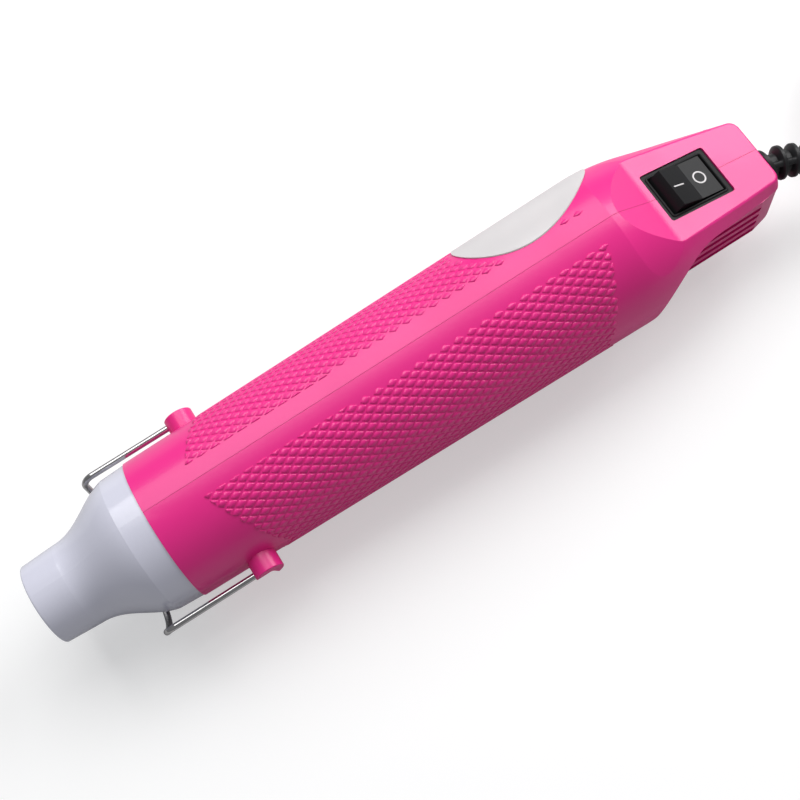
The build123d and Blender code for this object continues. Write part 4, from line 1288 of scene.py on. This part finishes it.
@dataclass
class BezelLip:
    """Raised lip round the switch's window.

    Attributes:
        sink: Depth of the bezel's face below the facet.
        window_half: Half length and half width of the window.
        corner: Radius of the lip's inner corners.
        width: Width of the lip.
        rise: Height of the lip.
        points: Number of points round a corner, and over the lip.
    """

    sink: float = 0.52 * MM
    window_half: Pair = (8.76 * MM, 6.01 * MM)
    corner: float = 0.3 * MM
    width: float = 0.75 * MM
    rise: float = 0.38 * MM
    points: int = 9

    def build(self) -> Piece:
        """The lip: a half-round section carried round a rounded rectangle.

        Returns:
            The piece.
        """
        quarter = np.repeat(np.arange(4), self.points)
        turn = (quarter + np.tile(np.linspace(0, 1, self.points), 4)) * np.pi / 2
        middle = (quarter + 0.5) * np.pi / 2
        section = np.linspace(0, np.pi, self.points)[:, None]
        reach = self.corner + self.width / 2 * (1 - np.cos(section))
        along = np.sign(np.cos(middle)) * (self.window_half[0] - self.corner) + reach * np.cos(turn)
        aside = np.sign(np.sin(middle)) * (self.window_half[1] - self.corner) + reach * np.sin(turn)
        points = on_facet(along, aside, self.rise * np.sin(section) - self.sink)
        faces = grid_faces(*along.shape, round_columns=True)[:, ::-1]
        return make_piece("bezel_lip", points, faces.tolist(), "switch_black", Body.TOOL)


# Screws


@dataclass
class CasingScrews:
    """Four pan-head screws with a cross recess and a coarse thread, driven in from the right flank.

    Attributes:
        places: Station, height over the axis and seat offset of each screw, in millimetres.
        head_radius: Radius of the head.
        head_height: Height of the head.
        shank_radius: Radius of the thread.
        tip: Offset of the screw's tip.
        thread_pitch: Distance between the thread's turns.
        slot_half: Half width of the recess's arms.
        slot_reach: Length of an arm.
        slot_depth: Depth of the recess.
        thread_depth: Depth of the thread.
        plain_ends: Length without a thread under the head and at the tip.
        rim: Share of the head's height over its upright rim, and under it.
        point: Length of the point, and of its last part from half the thread's radius.
        fine: Least radius or step, where a ring closes.
        ring_points: Number of points in a ring.
        dome_rings: Number of rings over the head.
        shank_rings: Number of rings down the thread.
    """

    places: tuple[Place, ...] = (
        (50.5, -14.4, -7.166), (80.0, -14.6, -7.382), (177.4, -8.9, -6.5), (218.0, -7.9, -6.5))
    head_radius: float = 2.4 * MM
    head_height: float = 1.8 * MM
    shank_radius: float = 1.2 * MM
    tip: float = 7.0 * MM
    thread_pitch: float = 0.9 * MM
    slot_half: float = 0.36 * MM
    slot_reach: float = 1.5 * MM
    slot_depth: float = 0.9 * MM
    thread_depth: float = 0.28 * MM
    plain_ends: Pair = (0.15 * MM, 0.6 * MM)
    rim: float = 0.35
    point: Pair = (1.2 * MM, 0.5 * MM)
    fine: float = 0.02 * MM
    ring_points: int = 48
    dome_rings: int = 18
    shank_rings: int = 60

    def one(self, station: float, height: float, seat: float) -> np.ndarray:
        """Points of one screw: a profile turned round its axis, sunk by the cross and waved by the thread.

        Args:
            station: Station of the axis.
            height: Height of the axis over the tool's.
            seat: Offset of the head's underside.

        Returns:
            A grid of points, rings from the head's middle to the tip.
        """
        dome = np.linspace(0.02, 1, self.dome_rings)
        head_r = dome * self.head_radius
        head_a = self.head_height * (1 - self.rim * dome**2.5)
        edge_r = np.array([self.head_radius, self.head_radius * 0.98, self.shank_radius])
        edge_a = np.array([self.head_height * self.rim, self.fine, 0.0])
        length = self.tip - seat
        down = np.linspace(0.2 * MM, length - self.point[0], self.shank_rings)
        point_a = np.array([length - self.point[1], length])
        reach_r = np.concatenate([head_r, edge_r, np.full(self.shank_rings, self.shank_radius),
                                  [self.shank_radius / 2, self.fine]])
        reach_a = np.concatenate([head_a, edge_a, -down, -point_a])
        turn = full_turn(self.ring_points)
        radius = reach_r[:, None] + 0 * turn
        along = reach_a[:, None] + 0 * turn
        arm = np.minimum(np.abs(radius * np.cos(turn)), np.abs(radius * np.sin(turn)))
        recess = 1 / (1 + (arm / self.slot_half) ** 8) / (1 + (radius / self.slot_reach) ** 12)
        along = along - np.where(along > self.head_height * 0.6, recess * self.slot_depth, 0)
        wave = np.abs(((along / self.thread_pitch + turn / (2 * np.pi)) % 1.0) - 0.5) * 2
        threaded = (along < -self.plain_ends[0]) & (along > self.plain_ends[1] - length)
        radius = radius - np.where(threaded, wave * self.thread_depth, 0)
        x = fore(station * MM) + radius * np.cos(turn)
        z = AXIS_HEIGHT + height * MM + radius * np.sin(turn)
        return np.stack([x, seat - along, z], axis=-1)

    def build(self) -> Piece:
        """All four screws as one piece, which stands for the CAD screws.

        Returns:
            The piece.
        """
        grids = [self.one(station, height, seat * MM) for station, height, seat in self.places]
        rows, columns = grids[0].shape[:2]
        faces = [face for index in range(len(grids))
                 for face in closed_faces(rows, columns, index * rows * columns)]
        piece = make_piece("cross_screws", np.stack(grids), faces, "screw_steel", Body.TOOL)
        piece.data.set_sharp_from_angle(angle=35 * DEGREE)
        face_outwards(piece)
        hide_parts("casing_screws")
        return piece


def main() -> None:
    """Build the studio, the lead, and the pieces that dress the frame, and report each one."""
    logging.basicConfig(level=logging.INFO, format="%(name)s: %(message)s")
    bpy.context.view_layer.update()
    Studio().build()
    MainsLead().build([StrainRelief().build(), PlugGrips().build()])
    dress_cad_nodes()
    grip = KnurledGrip()
    for flank in Flank:
        grip.build(flank)
    marks = SwitchMarks()
    marks.build_ring()
    marks.build_bar()
    BezelLip().build()
    CasingScrews().build()


if __name__ == "__main__":
    main()
